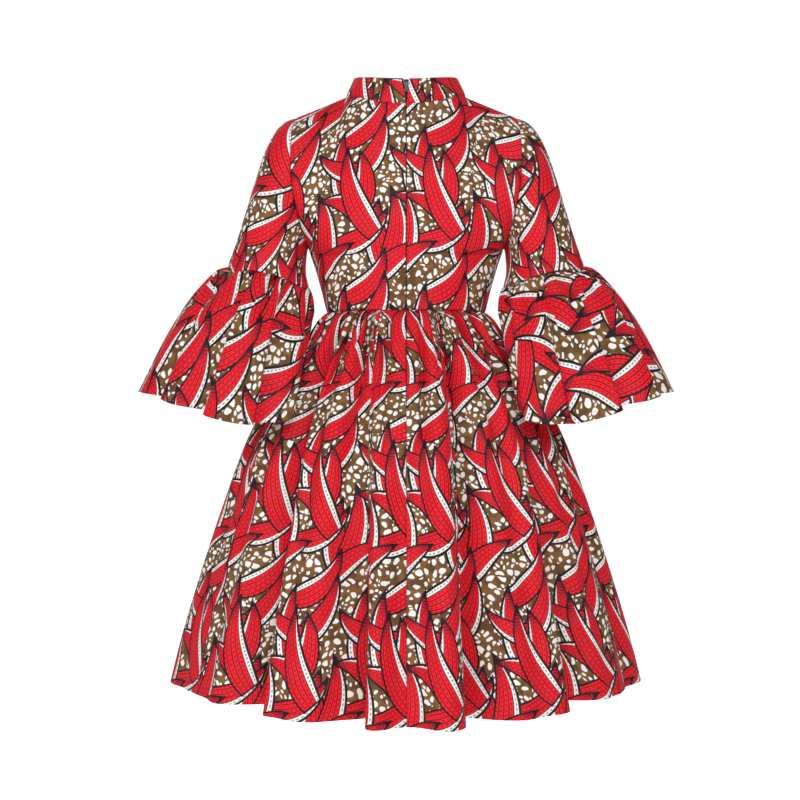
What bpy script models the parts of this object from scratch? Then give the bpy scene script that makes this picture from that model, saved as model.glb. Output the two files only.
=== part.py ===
"""An ankara wax print dress, worn: stand collar, fitted bodice, bell sleeves and a gathered skirt.

Metres, +Z up. The origin is where the wearer holds the dress up, midway between the shoulders
at the base of the neck. -Y is the wearer's back, where the zip is, and -X the wearer's left.
Every piece of cloth is a wall lofted through sections, with seams left as narrow gaps.
"""

import math
from collections import defaultdict, namedtuple

import bmesh
import bpy
import numpy as np
from mathutils import Matrix, Vector

# ---- Driving sizes -------------------------------------------------------------------------

CLOTH = 0.002  # wall of one piece of cloth
COLLAR_CLOTH = 0.0026  # two layers and a stiffener
SEAM_GAP = 0.0003

WAIST_HEIGHT = -0.362
UNDERARM_HEIGHT = -0.270
UNDERARM_HALF_WIDTH = 0.160
NAPE_HEIGHT = -0.021
THROAT_HEIGHT = -0.045
NECK_POINT_HEIGHT = 0.005
TORSO_ROUNDNESS = 2.3  # exponent of the oval: 2 is an ellipse, more is squarer

NECK_HALF_WIDTH = 0.101
NAPE_BEHIND = 0.079
THROAT_AHEAD = 0.064
COLLAR_HEIGHT = 0.040
COLLAR_SIDE_LOSS = 0.010  # the band is this much lower over the shoulders
COLLAR_TOP_WIDTH = 0.87  # top edge's width as a share of the base's
COLLAR_TOP_DEPTH = 0.965
COLLAR_END_GAP = 0.0012  # between the two ends of the band, at the zip

BUST_OUT = 0.018
BUST_APART = 0.150
BUST_HEIGHT = -0.232
BUST_SPREAD = 0.055

SKIRT_HEM_BEHIND = 0.300
SKIRT_HEM_DIP = 0.027  # the hem hangs this much lower at the back and front than at the sides
SKIRT_GATHERS = 28
SKIRT_FLAT_AT_ZIP = 0.017  # cloth each side of the back seam that the zip holds flat
RUFFLE_GATHERS = 12
RUFFLE_OFF_SKIRT = 0.013

ZIP_END_HEIGHT = -0.520

SLIDER_SIZE = (0.0080, 0.0024, 0.0100)  # x, y and z
SLIDER_BELOW_TOP = 0.0035  # band's top edge down to the pin
EAR_THICK = 0.0011
EAR_RADIUS = 0.0016
PIN_RADIUS = 0.0006
PIN_OFF_SLIDER = 0.0022
TAB_HOLE_RADIUS = 0.00095
TAB_BARREL_RADIUS = 0.0016
TAB_BARREL_WIDTH = 0.0030
TAB_SIDE_CLEARANCE = 0.0003
TAB_SIZE = (0.0058, 0.0012, 0.0170)
TAB_EYE_RADIUS = 0.0011

# ---- Sections and folds: one row each --------------------------------------------------------

Torso = namedtuple("Torso", "height half_width back front")
TORSO = [
    Torso(-0.362, 0.1340, 0.088, 0.096),
    Torso(-0.323, 0.1437, 0.094, 0.106),
    Torso(-0.289, 0.1535, 0.100, 0.116),
    Torso(UNDERARM_HEIGHT, UNDERARM_HALF_WIDTH, 0.103, 0.119),
    Torso(-0.180, 0.1800, 0.109, 0.112),
    Torso(-0.110, 0.1900, 0.105, 0.094),
    Torso(-0.060, 0.1900, 0.095, 0.074),
    Torso(-0.021, 0.1900, 0.079, 0.060),
]

# A sleeve's sections, from the armhole to its hem. "outer" is the side away from the body.
Sleeve = namedtuple("Sleeve", "outer_x outer_z inner_x inner_z half_depth bow behind")
SLEEVE = [
    Sleeve(0.187, -0.032, UNDERARM_HALF_WIDTH, UNDERARM_HEIGHT, 0.069, 0.014, 0.000),
    Sleeve(0.205, -0.040, 0.1675, -0.2715, 0.070, 0.013, 0.001),
    Sleeve(0.222, -0.058, 0.1715, -0.278, 0.069, 0.010, 0.003),
    Sleeve(0.240, -0.096, 0.1725, -0.286, 0.066, 0.007, 0.008),
    Sleeve(0.255, -0.143, 0.1720, -0.293, 0.062, 0.004, 0.014),
    Sleeve(0.270, -0.196, 0.1700, -0.301, 0.058, 0.002, 0.021),
    Sleeve(0.284, -0.243, 0.1670, -0.310, 0.054, 0.000, 0.028),
    Sleeve(0.298, -0.284, 0.1630, -0.3185, 0.052, 0.000, 0.035),
]
SLEEVE_END = SLEEVE[-1]

# A bell ruffle's sections, from its gathered seam to its hem. It hangs "drop" lower at its back.
Ruffle = namedtuple("Ruffle", "outer_x outer_z inner_x inner_z half_depth behind drop")
RUFFLE = [
    Ruffle(*SLEEVE_END[:5], SLEEVE_END.behind, 0.000),
    Ruffle(0.316, -0.2920, 0.158, -0.330, 0.061, 0.040, 0.001),
    Ruffle(0.338, -0.3150, 0.154, -0.349, 0.069, 0.048, 0.005),
    Ruffle(0.362, -0.3480, 0.151, -0.384, 0.080, 0.064, 0.014),
    Ruffle(0.396, -0.4090, 0.150, -0.442, 0.094, 0.084, 0.026),
    Ruffle(0.436, -0.4965, 0.152, -0.518, 0.108, 0.105, 0.038),
]

Skirt = namedtuple("Skirt", "height half_width gather")
SKIRT = [
    Skirt(-0.362, 0.1345, 0.0022),
    Skirt(-0.372, 0.1475, 0.0065),
    Skirt(-0.390, 0.1610, 0.0105),
    Skirt(-0.425, 0.1850, 0.0120),
    Skirt(-0.480, 0.2190, 0.0100),
    Skirt(-0.561, 0.2630, 0.0075),
    Skirt(-0.680, 0.3090, 0.0055),
    Skirt(-0.800, 0.3490, 0.0045),
    Skirt(-0.910, 0.3820, 0.0040),
    Skirt(-0.977, 0.3990, 0.0035),
]

# The large folds between the flutes. "angle" is in degrees from the middle of the back towards
# the wearer's right. A fold is "depth" deep at the hem and slides "lean" under one of its sides.
# One of negative depth stands out as a flute.
Fold = namedtuple("Fold", "angle half_width depth lean")
SKIRT_FOLDS = [
    Fold(-163.0, 6.0, 0.045, 0.026),
    Fold(-138.0, 6.5, 0.055, -0.030),
    Fold(-112.0, 6.0, 0.045, 0.024),
    Fold(-92.0, 6.0, 0.026, -0.010),
    Fold(-62.0, 9.0, 0.024, 0.008),
    Fold(-42.0, 6.0, 0.070, 0.046),
    Fold(-15.0, 5.5, 0.054, 0.040),
    Fold(-8.0, 5.0, -0.026, 0.000),
    Fold(8.5, 5.5, -0.026, 0.000),
    Fold(21.5, 5.5, 0.050, -0.036),
    Fold(49.0, 6.0, 0.068, -0.044),
    Fold(68.0, 9.0, 0.024, -0.008),
    Fold(97.0, 6.5, 0.030, 0.012),
    Fold(119.0, 6.0, 0.048, -0.026),
    Fold(144.0, 6.0, 0.045, 0.026),
    Fold(170.0, 6.5, 0.055, -0.030),
]
# Angles from the outer side of the arm round by the back of it.
RUFFLE_FOLDS = [
    Fold(28.0, 10.0, 0.020, 0.006),
    Fold(66.0, 11.0, 0.030, 0.012),
    Fold(112.0, 10.0, 0.026, -0.010),
    Fold(152.0, 9.0, 0.018, -0.005),
    Fold(205.0, 10.0, 0.014, 0.000),
    Fold(250.0, 11.0, 0.022, 0.006),
    Fold(292.0, 10.0, 0.024, -0.008),
    Fold(332.0, 10.0, 0.020, 0.004),
]

# ---- How finely the walls are cut ------------------------------------------------------------

SIDE_ROWS = 4  # waist to underarm
ARMHOLE_ROWS = 9  # underarm to shoulder
NECK_COLUMNS = 5  # middle of the neck to the shoulder
SHOULDER_COLUMNS = 4
COLLAR_ROWS = 3
SKIRT_COLUMNS = SKIRT_GATHERS * 7
SKIRT_SIDE_COLUMN = SKIRT_COLUMNS // 4
RUFFLE_COLUMNS = RUFFLE_GATHERS * 6

COLOURS = {
    "print": (0.52, 0.045, 0.05, 1.0),
    "zip_metal": (0.015, 0.015, 0.017, 1.0),
}


# ---- Reading the tables ----------------------------------------------------------------------


def read(table, key, value, at):
    """A smooth line through one column of a table, against another column, read at some places."""
    x = np.array([getattr(row, key) for row in table], float)
    y = np.array([getattr(row, value) for row in table], float)
    if x[0] > x[-1]:
        x, y = x[::-1], y[::-1]
    return smooth_line(x, y, at)


def smooth_line(x, y, at):
    """Cubic through the points, with each point's slope taken from its neighbours."""
    slope = np.gradient(y, x)
    at = np.clip(np.asarray(at, float), x[0], x[-1])
    i = np.clip(np.searchsorted(x, at, side="right") - 1, 0, len(x) - 2)
    width = x[i + 1] - x[i]
    t = (at - x[i]) / width
    start = (1 + 2 * t) * (1 - t) ** 2 * y[i] + t * (1 - t) ** 2 * width * slope[i]
    end = t * t * (3 - 2 * t) * y[i + 1] + t * t * (t - 1) * width * slope[i + 1]
    return start + end


def by_row(table, value, at):
    """A column read by row number, so 1.5 is halfway from the second row to the third."""
    y = np.array([getattr(row, value) for row in table], float)
    return smooth_line(np.arange(len(y), dtype=float), y, at)


def ease(t):
    t = np.clip(t, 0.0, 1.0)
    return t * t * (3 - 2 * t)


def oval(angle, half_width, back, front, roundness):
    """x and y of a squared ellipse. Angle 0 is the back, 90 degrees the wearer's right."""
    power = 2 / roundness
    x = half_width * np.sign(np.sin(angle)) * np.abs(np.sin(angle)) ** power
    depth = np.where(np.cos(angle) > 0, -back, front)
    return x, depth * np.abs(np.cos(angle)) ** power


# ---- Bodice: each half is spanned between its waist, middle, top and side edges --------------


def arm_section(row, angle):
    """Points of a sleeve section. Angle 0 is the outer side, 90 degrees the back, 180 the inner."""
    outer = np.array([by_row(SLEEVE, "outer_x", row), by_row(SLEEVE, "outer_z", row)])
    inner = np.array([by_row(SLEEVE, "inner_x", row), by_row(SLEEVE, "inner_z", row)])
    centre, half = (outer + inner) / 2, (outer - inner) / 2
    bow = by_row(SLEEVE, "bow", row) * np.sin(angle) ** 2
    x = centre[0] + half[0] * np.cos(angle) + bow
    z = centre[1] + half[1] * np.cos(angle)
    y = -by_row(SLEEVE, "behind", row) - by_row(SLEEVE, "half_depth", row) * np.sin(angle)
    return np.stack([x, y, z], axis=-1)


def bodice_rows():
    """(height share up the side seam, angle round the armhole) of each row, waist to shoulder."""
    side = [(share, None) for share in np.linspace(0, 1, SIDE_ROWS + 1)]
    armhole = [(1.0, math.pi * k / ARMHOLE_ROWS) for k in range(1, ARMHOLE_ROWS + 1)]
    return side + armhole


def top_edge(is_back):
    """The neckline from its middle to the shoulder, then the shoulder seam out to the armhole."""
    angle = np.linspace(0, math.pi / 2, NECK_COLUMNS + 1)
    middle = NAPE_HEIGHT if is_back else THROAT_HEIGHT
    depth = -NAPE_BEHIND if is_back else THROAT_AHEAD
    neck = np.stack(
        [
            NECK_HALF_WIDTH * np.sin(angle),
            depth * np.cos(angle),
            middle + (NECK_POINT_HEIGHT - middle) * np.sin(angle) ** 2,
        ],
        axis=-1,
    )
    tip = arm_section(0, np.array(0.0))
    share = np.linspace(0, 1, SHOULDER_COLUMNS + 1)[1:, None]
    return np.concatenate([neck, neck[-1] + (tip - neck[-1]) * share])


def bodice_half(is_back):
    """Points of the wearer's right half of the back or front, rows from waist to top."""
    top = top_edge(is_back)
    columns = len(top)
    u = np.linspace(0, 1, columns)
    first = TORSO[0]
    across = u * math.pi / 2 if is_back else math.pi - u * math.pi / 2
    x, y = oval(across, first.half_width, first.back, first.front, TORSO_ROUNDNESS)
    waist = np.stack([x, y, np.full(columns, WAIST_HEIGHT)], axis=-1)
    middle_top = NAPE_HEIGHT if is_back else THROAT_HEIGHT
    depth_name, sign = ("back", -1) if is_back else ("front", 1)
    rows = []
    for side_share, armhole_angle in bodice_rows():
        if armhole_angle is None:
            height = WAIST_HEIGHT + (UNDERARM_HEIGHT - WAIST_HEIGHT) * side_share
            half_width = float(read(TORSO, "height", "half_width", height))
            side = np.array([half_width, 0.0, height])
        else:
            share = (1 - math.cos(armhole_angle)) / 2
            height = UNDERARM_HEIGHT + (middle_top - UNDERARM_HEIGHT) * share
            angle = math.pi - armhole_angle if is_back else math.pi + armhole_angle
            side = arm_section(0, np.array(angle))
        rise = (height - WAIST_HEIGHT) / (middle_top - WAIST_HEIGHT)
        to_top = 1 - max(0.0, 1 - rise**3) ** 0.6
        depth = sign * float(read(TORSO, "height", depth_name, height))
        end = top[0]
        middle = np.array([0.0, depth + (end[1] - depth) * to_top, height])
        base = waist + (top - waist) * to_top
        from_middle = (1 - u)[:, None] * (middle - base[0])
        from_side = (u**1.6)[:, None] * (side - base[-1])
        rows.append(base + from_middle + from_side)
    points = np.array(rows)
    if not is_back:
        off = ((points[..., 0] - BUST_APART / 2) ** 2) + (points[..., 2] - BUST_HEIGHT) ** 2
        inside = np.clip(1 - u**3, 0, 1)
        points[..., 1] += BUST_OUT * np.exp(-off / BUST_SPREAD**2) * inside
    return points


def mirrored(points):
    """The same piece on the other side of the body, its columns turned round to match."""
    return points[:, ::-1] * np.array([-1.0, 1.0, 1.0])


def collar_band(neckline):
    """Rows of points from the neckline up to the band's top edge."""
    over_shoulder = np.abs(neckline[:, 0]) / NECK_HALF_WIDTH
    rise = COLLAR_HEIGHT - COLLAR_SIDE_LOSS * over_shoulder**2
    top = neckline * np.array([COLLAR_TOP_WIDTH, COLLAR_TOP_DEPTH, 1.0])
    top[:, 2] += rise
    share = np.linspace(0, 1, COLLAR_ROWS + 1)[:, None, None]
    return neckline + (top - neckline) * share


# ---- Skirt and ruffles: closed rings with gathers and folds ----------------------------------


def uneven(angle, count):
    """0 on the crest of a gather and 1 in its valley, with gathers of unequal width and depth."""
    shifted = angle + 0.030 * np.sin(3 * angle + 1.0) + 0.020 * np.sin(5 * angle + 2.2)
    depth = 0.80 + 0.20 * np.sin(4 * angle + 0.7) * np.cos(3 * angle)
    return depth * (1 - np.cos(count * shifted)) / 2


def folds(table, angle, grown):
    """How far each point moves in and sideways for the large folds, grown from 0 to 1."""
    inward, sideways = np.zeros_like(angle), np.zeros_like(angle)
    for fold in table:
        off = np.degrees(angle) - fold.angle
        off = (off + 180) % 360 - 180
        bump = np.exp(-((off / fold.half_width) ** 2))
        inward += fold.depth * bump * grown
        sideways += fold.lean * bump * grown
    return inward, sideways


def skirt_oval(angle, height):
    """x and y of the skirt's crests at a height, before its folds."""
    half_width = read(SKIRT, "height", "half_width", height)
    spread = (half_width - SKIRT[0].half_width) / (SKIRT[-1].half_width - SKIRT[0].half_width)
    first = TORSO[0]
    back = first.back + (SKIRT_HEM_BEHIND - first.back) * spread
    front = first.front + (SKIRT_HEM_BEHIND - first.front) * spread
    roundness = TORSO_ROUNDNESS + (2.0 - TORSO_ROUNDNESS) * ease(spread)
    return oval(angle, half_width, back, front, roundness)


def displaced(ring, inward, sideways):
    """A closed flat ring moved towards its inside and along itself."""
    along = np.roll(ring, -1, axis=0) - np.roll(ring, 1, axis=0)
    along[:, 2] = 0
    along /= np.linalg.norm(along, axis=1)[:, None]
    into = np.stack([-along[:, 1], along[:, 0], np.zeros(len(ring))], axis=-1)
    return ring + into * inward[:, None] + along * sideways[:, None]


def skirt_rings(columns):
    """Closed rings from waist to hem. Column 0 is the middle of the back."""
    angle = np.linspace(0, 2 * math.pi, columns, endpoint=False)
    signed = (angle + math.pi) % (2 * math.pi) - math.pi
    rings = []
    for row, section in enumerate(SKIRT):
        x, y = skirt_oval(angle, section.height)
        low = ease((WAIST_HEIGHT - section.height) / (WAIST_HEIGHT - SKIRT[-1].height))
        dip = SKIRT_HEM_DIP * np.cos(angle) ** 2 * low
        ring = np.stack([x, y, section.height - dip], axis=-1)
        from_zip = np.abs(x) + np.where(np.cos(angle) > 0, 0.0, 1.0)
        free = ease((from_zip - SKIRT_FLAT_AT_ZIP) / 0.012)
        free = np.where(section.height > ZIP_END_HEIGHT - 0.05, free, 1.0)
        grown = ((WAIST_HEIGHT - section.height) / (WAIST_HEIGHT - SKIRT[-1].height)) ** 0.85
        inward, sideways = folds(SKIRT_FOLDS, signed, grown * free)
        inward = inward + section.gather * 2 * uneven(signed, SKIRT_GATHERS) * free
        rings.append(displaced(ring, inward, sideways))
    rings = np.array(rings)
    rings[0, :, 2] = WAIST_HEIGHT - SEAM_GAP / 2
    return rings


def clear_of_skirt(points):
    """Points pushed off the skirt's side, so that a ruffle lies just clear of it."""
    height = np.clip(points[..., 2], SKIRT[-1].height, WAIST_HEIGHT)
    half_width = read(SKIRT, "height", "half_width", height) + RUFFLE_OFF_SKIRT
    spread = (half_width - SKIRT[0].half_width) / (SKIRT[-1].half_width - SKIRT[0].half_width)
    depth = TORSO[0].back + (SKIRT_HEM_BEHIND - TORSO[0].back) * spread + RUFFLE_OFF_SKIRT
    reach = np.sqrt((points[..., 0] / half_width) ** 2 + (points[..., 1] / depth) ** 2)
    soft = (reach**16 + 1) ** (1 / 16) / reach
    near_waist = ease((WAIST_HEIGHT + 0.02 - points[..., 2]) / 0.04)
    factor = 1 + (soft - 1) * near_waist
    return points * np.stack([factor, factor, np.ones_like(factor)], axis=-1)


def ruffle_rings(columns, turn):
    """Closed rings of the wearer's right ruffle. "turn" shifts its folds, in degrees."""
    angle = np.linspace(0, 2 * math.pi, columns, endpoint=False)
    rings = []
    for row, section in enumerate(RUFFLE):
        outer = np.array([section.outer_x, section.outer_z])
        inner = np.array([section.inner_x, section.inner_z])
        centre, half = (outer + inner) / 2, (outer - inner) / 2
        share = row / (len(RUFFLE) - 1)
        inward, sideways = folds(RUFFLE_FOLDS, angle - math.radians(turn), share**0.9)
        gather = 0.0016 + 0.0050 * math.sin(math.pi * min(1.0, share * 1.3 + 0.12))
        inward = inward + 2 * gather * uneven(angle, RUFFLE_GATHERS)
        width = float(np.hypot(*half))
        wide = np.stack([width * np.cos(angle), -section.half_depth * np.sin(angle)], axis=-1)
        flat = np.concatenate([wide, np.zeros((columns, 1))], axis=1)
        flat = displaced(flat[::-1], inward[::-1], -sideways[::-1])[::-1]
        tilt = half / width
        x = centre[0] + tilt[0] * flat[:, 0]
        inwards = (1 - np.cos(angle)) / 2
        lowest_at_back = (6.75 * inwards**2 * (1 - inwards)) ** 0.75
        z = centre[1] + tilt[1] * flat[:, 0] - section.drop * lowest_at_back
        rings.append(np.stack([x, flat[:, 1] - section.behind, z], axis=-1))
    rings = np.array(rings)
    rings[1:] = clear_of_skirt(rings[1:])
    return rings


def down_the_arm():
    """Direction of the sleeve at its hem, square to its last section."""
    last = SLEEVE[-1]
    along = Vector((last.outer_x - last.inner_x, 0, last.outer_z - last.inner_z)).normalized()
    return np.array(along.cross(Vector((0, 1, 0))) * -1)


# ---- Walls -----------------------------------------------------------------------------------


def key_of(point):
    return tuple(int(round(c * 1e6)) for c in point)


def quads_of(rows, columns, closed):
    """Index pairs of each quad's corners, in order round it."""
    last = columns if closed else columns - 1
    for r in range(rows - 1):
        for c in range(last):
            d = (c + 1) % columns
            yield (r, c), (r, d), (r + 1, d), (r + 1, c)


def seam_normals(pieces):
    """An outward normal for each point, shared by the pieces that meet there."""
    total = defaultdict(lambda: np.zeros(3))
    for points, closed in pieces:
        for a, b, c, d in quads_of(points.shape[0], points.shape[1], closed):
            across = np.cross(points[c] - points[a], points[d] - points[b])
            for corner in (a, b, c, d):
                total[key_of(points[corner])] += across
    found = []
    for points, _ in pieces:
        normals = np.array([[total[key_of(p)] for p in row] for row in points])
        found.append(normals / np.linalg.norm(normals, axis=-1)[..., None])
    return found


def level(normals, row, axis=(0.0, 0.0, 1.0)):
    """Turns one row's normals square to an axis, so that its rim is flat."""
    axis = np.array(axis)
    flat = normals[row] - (normals[row] @ axis)[:, None] * axis
    normals[row] = flat / np.linalg.norm(flat, axis=-1)[:, None]


def drawn_in(layer, edges):
    """The layer with its named edges pulled in by half the seam gap each, or by a given gap."""
    layer = layer.copy()
    lines = {
        "bottom": (np.s_[0], np.s_[1]),
        "top": (np.s_[-1], np.s_[-2]),
        "first": (np.s_[:, 0], np.s_[:, 1]),
        "last": (np.s_[:, -1], np.s_[:, -2]),
    }
    for name, gap in edges.items():
        edge, inside = lines[name]
        step = layer[inside] - layer[edge]
        layer[edge] += step / np.linalg.norm(step, axis=-1)[..., None] * gap / 2
    return layer


def rim(mesh, out, into, points, a, b):
    """Two triangles across a rim, split the same way on both pieces that share the seam."""
    if key_of(points[a]) < key_of(points[b]):
        mesh.faces.new([out[a], out[b], into[b]])
        mesh.faces.new([out[a], into[b], into[a]])
    else:
        mesh.faces.new([out[a], out[b], into[a]])
        mesh.faces.new([out[b], into[b], into[a]])


def wall(name, points, normals, closed=False, edges=None, thick=CLOTH, colour="print"):
    """A closed solid: the points moved out and in by half the thickness, joined at the rims."""
    outer = drawn_in(points + normals * thick / 2, edges or {})
    inner = drawn_in(points - normals * thick / 2, edges or {})
    rows, columns = points.shape[:2]
    mesh = bmesh.new()
    out = [[mesh.verts.new(p) for p in row] for row in outer]
    into = [[mesh.verts.new(p) for p in row] for row in inner]
    for a, b, c, d in quads_of(rows, columns, closed):
        mesh.faces.new([out[r][k] for r, k in (a, b, c, d)])
        mesh.faces.new([into[r][k] for r, k in (d, c, b, a)])
    last = columns if closed else columns - 1
    for c in range(last):
        d = (c + 1) % columns
        rim(mesh, out[0], into[0], points[0], d, c)
        rim(mesh, out[-1], into[-1], points[-1], c, d)
    if not closed:
        for side, step in ((0, 0), (-1, 1)):
            edge = [row[side] for row in out], [row[side] for row in into], points[:, side]
            for r in range(rows - 1):
                rim(mesh, *edge, r + step, r + 1 - step)
    return finished(name, mesh, colour)


def finished(name, mesh, colour):
    """Turns a bmesh into a named object with its material, smooth but for its sharp rims."""
    data = bpy.data.meshes.new(name)
    mesh.to_mesh(data)
    mesh.free()
    data.materials.append(material(colour))
    data.shade_smooth()
    data.set_sharp_from_angle(angle=math.radians(50))
    obj = bpy.data.objects.new(name, data)
    DRESS.objects.link(obj)
    return obj


def material(name):
    """The named material, made the first time it is asked for."""
    found = bpy.data.materials.get(name)
    if found:
        return found
    made = bpy.data.materials.new(name)
    made.use_nodes = True
    shader = made.node_tree.nodes["Principled BSDF"]
    shader.inputs["Base Color"].default_value = COLOURS[name]
    shader.inputs["Roughness"].default_value = 0.35 if name == "zip_metal" else 0.85
    shader.inputs["Metallic"].default_value = 1.0 if name == "zip_metal" else 0.0
    return made


# ---- The pieces ------------------------------------------------------------------------------


def build_bodice_sleeves_collar():
    """The upper part, where pieces share their seam points and so share their normals."""
    back_right = bodice_half(True)
    back_left = mirrored(back_right)
    front_right = bodice_half(False)
    front = np.concatenate([front_right[:, ::-1], mirrored(front_right)[:, ::-1][:, 1:]], axis=1)
    neck = NECK_COLUMNS + 1
    round_neck = [
        back_right[-1, :neck],
        front[-1, SHOULDER_COLUMNS : SHOULDER_COLUMNS + 2 * neck - 1][1:],
        back_left[-1, -neck:][1:],
    ]
    collar = collar_band(np.concatenate(round_neck))
    angles = np.arange(2 * ARMHOLE_ROWS) * math.pi / ARMHOLE_ROWS
    sleeve_right = np.array([arm_section(row, angles) for row in range(len(SLEEVE))])
    sleeve_right = sleeve_right[::-1, ::-1]
    sleeve_left = mirrored(sleeve_right)
    names = ("back_right", "back_left", "front", "collar", "sleeve_right", "sleeve_left")
    grids = (back_right, back_left, front, collar, sleeve_right, sleeve_left)
    closed = (False, False, False, False, True, True)
    normals = dict(zip(names, seam_normals(list(zip(grids, closed)))))
    for name in names[:3]:
        level(normals[name], 0)
    axis = down_the_arm()
    level(normals["sleeve_right"], 0, axis)
    level(normals["sleeve_left"], 0, axis * np.array([-1.0, 1.0, 1.0]))
    seams = {"bottom": SEAM_GAP, "top": SEAM_GAP, "first": SEAM_GAP, "last": SEAM_GAP}
    for name, grid in zip(names[:3], grids[:3]):
        wall("bodice_" + name, grid, normals[name], edges=seams)
    ends = {"bottom": SEAM_GAP, "first": COLLAR_END_GAP, "last": COLLAR_END_GAP}
    wall("collar", collar, normals["collar"], edges=ends, thick=COLLAR_CLOTH)
    for name, grid in zip(names[4:], grids[4:]):
        rims = {"bottom": SEAM_GAP, "top": SEAM_GAP}
        wall(name, grid, normals[name], closed=True, edges=rims)
    return collar


def build_ruffles():
    axis = down_the_arm()
    for side, turn, flip in (("right", 0.0, 1.0), ("left", 9.0, -1.0)):
        rings = ruffle_rings(RUFFLE_COLUMNS, turn)
        rings[0] += axis * SEAM_GAP / 2
        direction = axis * np.array([flip, 1.0, 1.0])
        rings = rings[::-1, ::-1]
        rings = rings if flip > 0 else mirrored(rings)
        normals = seam_normals([(rings, True)])[0]
        level(normals, -1, direction)
        wall("ruffle_" + side, rings, normals, closed=True)


def build_skirt():
    rings = skirt_rings(SKIRT_COLUMNS)[::-1]
    normals = seam_normals([(rings, True)])[0]
    level(normals, -1)
    quarter = SKIRT_SIDE_COLUMN
    columns = {
        "skirt_back_right": np.arange(0, quarter + 1),
        "skirt_front": np.arange(quarter, 3 * quarter + 1),
        "skirt_back_left": np.arange(3 * quarter, 4 * quarter + 1) % SKIRT_COLUMNS,
    }
    for name, chosen in columns.items():
        seams = {"first": SEAM_GAP, "last": SEAM_GAP}
        wall(name, rings[:, chosen], normals[:, chosen], edges=seams)


def primitive(name, mesh, collection, turn=None, place=(0, 0, 0)):
    """An object from a bmesh that is moved, after an optional turn, within its own frame."""
    bmesh.ops.transform(mesh, matrix=Matrix.Translation(place) @ (turn or Matrix()), verts=mesh.verts)
    data = bpy.data.meshes.new(name)
    mesh.to_mesh(data)
    mesh.free()
    obj = bpy.data.objects.new(name, data)
    collection.objects.link(obj)
    return obj


def box(name, size, place, collection):
    mesh = bmesh.new()
    bmesh.ops.create_cube(mesh, size=1.0, matrix=Matrix.Diagonal((*size, 1.0)))
    return primitive(name, mesh, collection, place=place)


def rod(name, radius, length, place, collection, along="X"):
    mesh = bmesh.new()
    bmesh.ops.create_cone(
        mesh, cap_ends=True, segments=20, radius1=radius, radius2=radius, depth=length
    )
    turn = Matrix.Rotation(math.pi / 2, 4, "Y" if along == "X" else "X")
    return primitive(name, mesh, collection, turn, place)


def combine(obj, tools, operation):
    for tool in tools:
        boolean = obj.modifiers.new(tool.name, "BOOLEAN")
        boolean.operation = operation
        boolean.object = tool
        tool.hide_render = True
        tool.display_type = "WIRE"


def build_zip(collar):
    """A slider on the band's outer face at the zip, and the tab that hangs from its pin."""
    base, top = Vector(collar[0, 0]), Vector(collar[-1, 0])
    lean = math.atan2(top.y - base.y, top.z - base.z)
    up = (top - base).normalized()
    out = up.cross(Vector((-1, 0, 0)))
    off_band = COLLAR_CLOTH / 2 + SEAM_GAP + SLIDER_SIZE[1]
    pin_at = top - up * SLIDER_BELOW_TOP + out * (off_band + PIN_OFF_SLIDER)

    ear_x = TAB_BARREL_WIDTH / 2 + TAB_SIDE_CLEARANCE + EAR_THICK / 2
    pin_length = 2 * ear_x + EAR_THICK
    body_y = PIN_OFF_SLIDER + SLIDER_SIZE[1] / 2
    slider = box("zip_slider", SLIDER_SIZE, (0, body_y, -SLIDER_SIZE[2] / 2 + 0.0025), DRESS)
    ear_depth = PIN_OFF_SLIDER + SLIDER_SIZE[1] / 2
    tools = [rod("slider_pin", PIN_RADIUS, pin_length - EAR_THICK, (0, 0, 0), CUTTERS)]
    for side in (-1, 1):
        place = (side * ear_x, 0, 0)
        tools.append(rod("slider_ear_round", EAR_RADIUS, EAR_THICK, place, CUTTERS))
        size = (EAR_THICK, ear_depth, 2 * EAR_RADIUS)
        place = (side * ear_x, ear_depth / 2, 0)
        tools.append(box("slider_ear_foot", size, place, CUTTERS))
    combine(slider, tools, "UNION")
    slider.location = pin_at
    slider.rotation_euler.x = -lean
    for tool in tools:
        tool.parent = slider

    length = TAB_SIZE[2]
    tab = box("zip_pull", TAB_SIZE, (0, 0, -TAB_BARREL_RADIUS * 0.7 - length / 2), DRESS)
    for vertex in tab.data.vertices:
        if vertex.co.z > -length / 2:
            vertex.co.x *= TAB_BARREL_WIDTH / TAB_SIZE[0]
    barrel = rod("tab_barrel", TAB_BARREL_RADIUS, TAB_BARREL_WIDTH, (0, 0, 0), CUTTERS)
    hole = rod("tab_hole", TAB_HOLE_RADIUS, 0.008, (0, 0, 0), CUTTERS)
    eye = rod("tab_eye", TAB_EYE_RADIUS, 0.004, (0, 0, -length + 0.0015), CUTTERS, along="Y")
    combine(tab, [barrel], "UNION")
    combine(tab, [hole, eye], "DIFFERENCE")
    tab.location = pin_at
    for tool in (barrel, hole, eye):
        tool.parent = tab
    for obj in (slider, tab):
        obj.data.materials.append(material("zip_metal"))
        bevel = obj.modifiers.new("rounded edges", "BEVEL")
        bevel.width = 0.00015
        bevel.segments = 1
        bevel.angle_limit = math.radians(50)


DRESS = bpy.data.collections.new("ankara_dress")
CUTTERS = bpy.data.collections.new("cutters")


def main():
    for obj in list(bpy.data.objects):
        bpy.data.objects.remove(obj)
    bpy.context.scene.collection.children.link(DRESS)
    bpy.context.scene.collection.children.link(CUTTERS)
    build_zip(build_bodice_sleeves_collar())
    build_ruffles()
    build_skirt()


main()
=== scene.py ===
"""Looks of the ankara dress: cloth shells over its solids, the wax print, the zip and the studio.

Metres, +Z up, in the frame of the dress's solids. -Y is the wearer's back, where the zip is,
and -X the wearer's left. Every shell follows its solid's wall, with sharper folds and with the
small gathers, tucks and creases that the solid leaves out.
"""

import math
from collections import namedtuple
from functools import reduce

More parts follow.
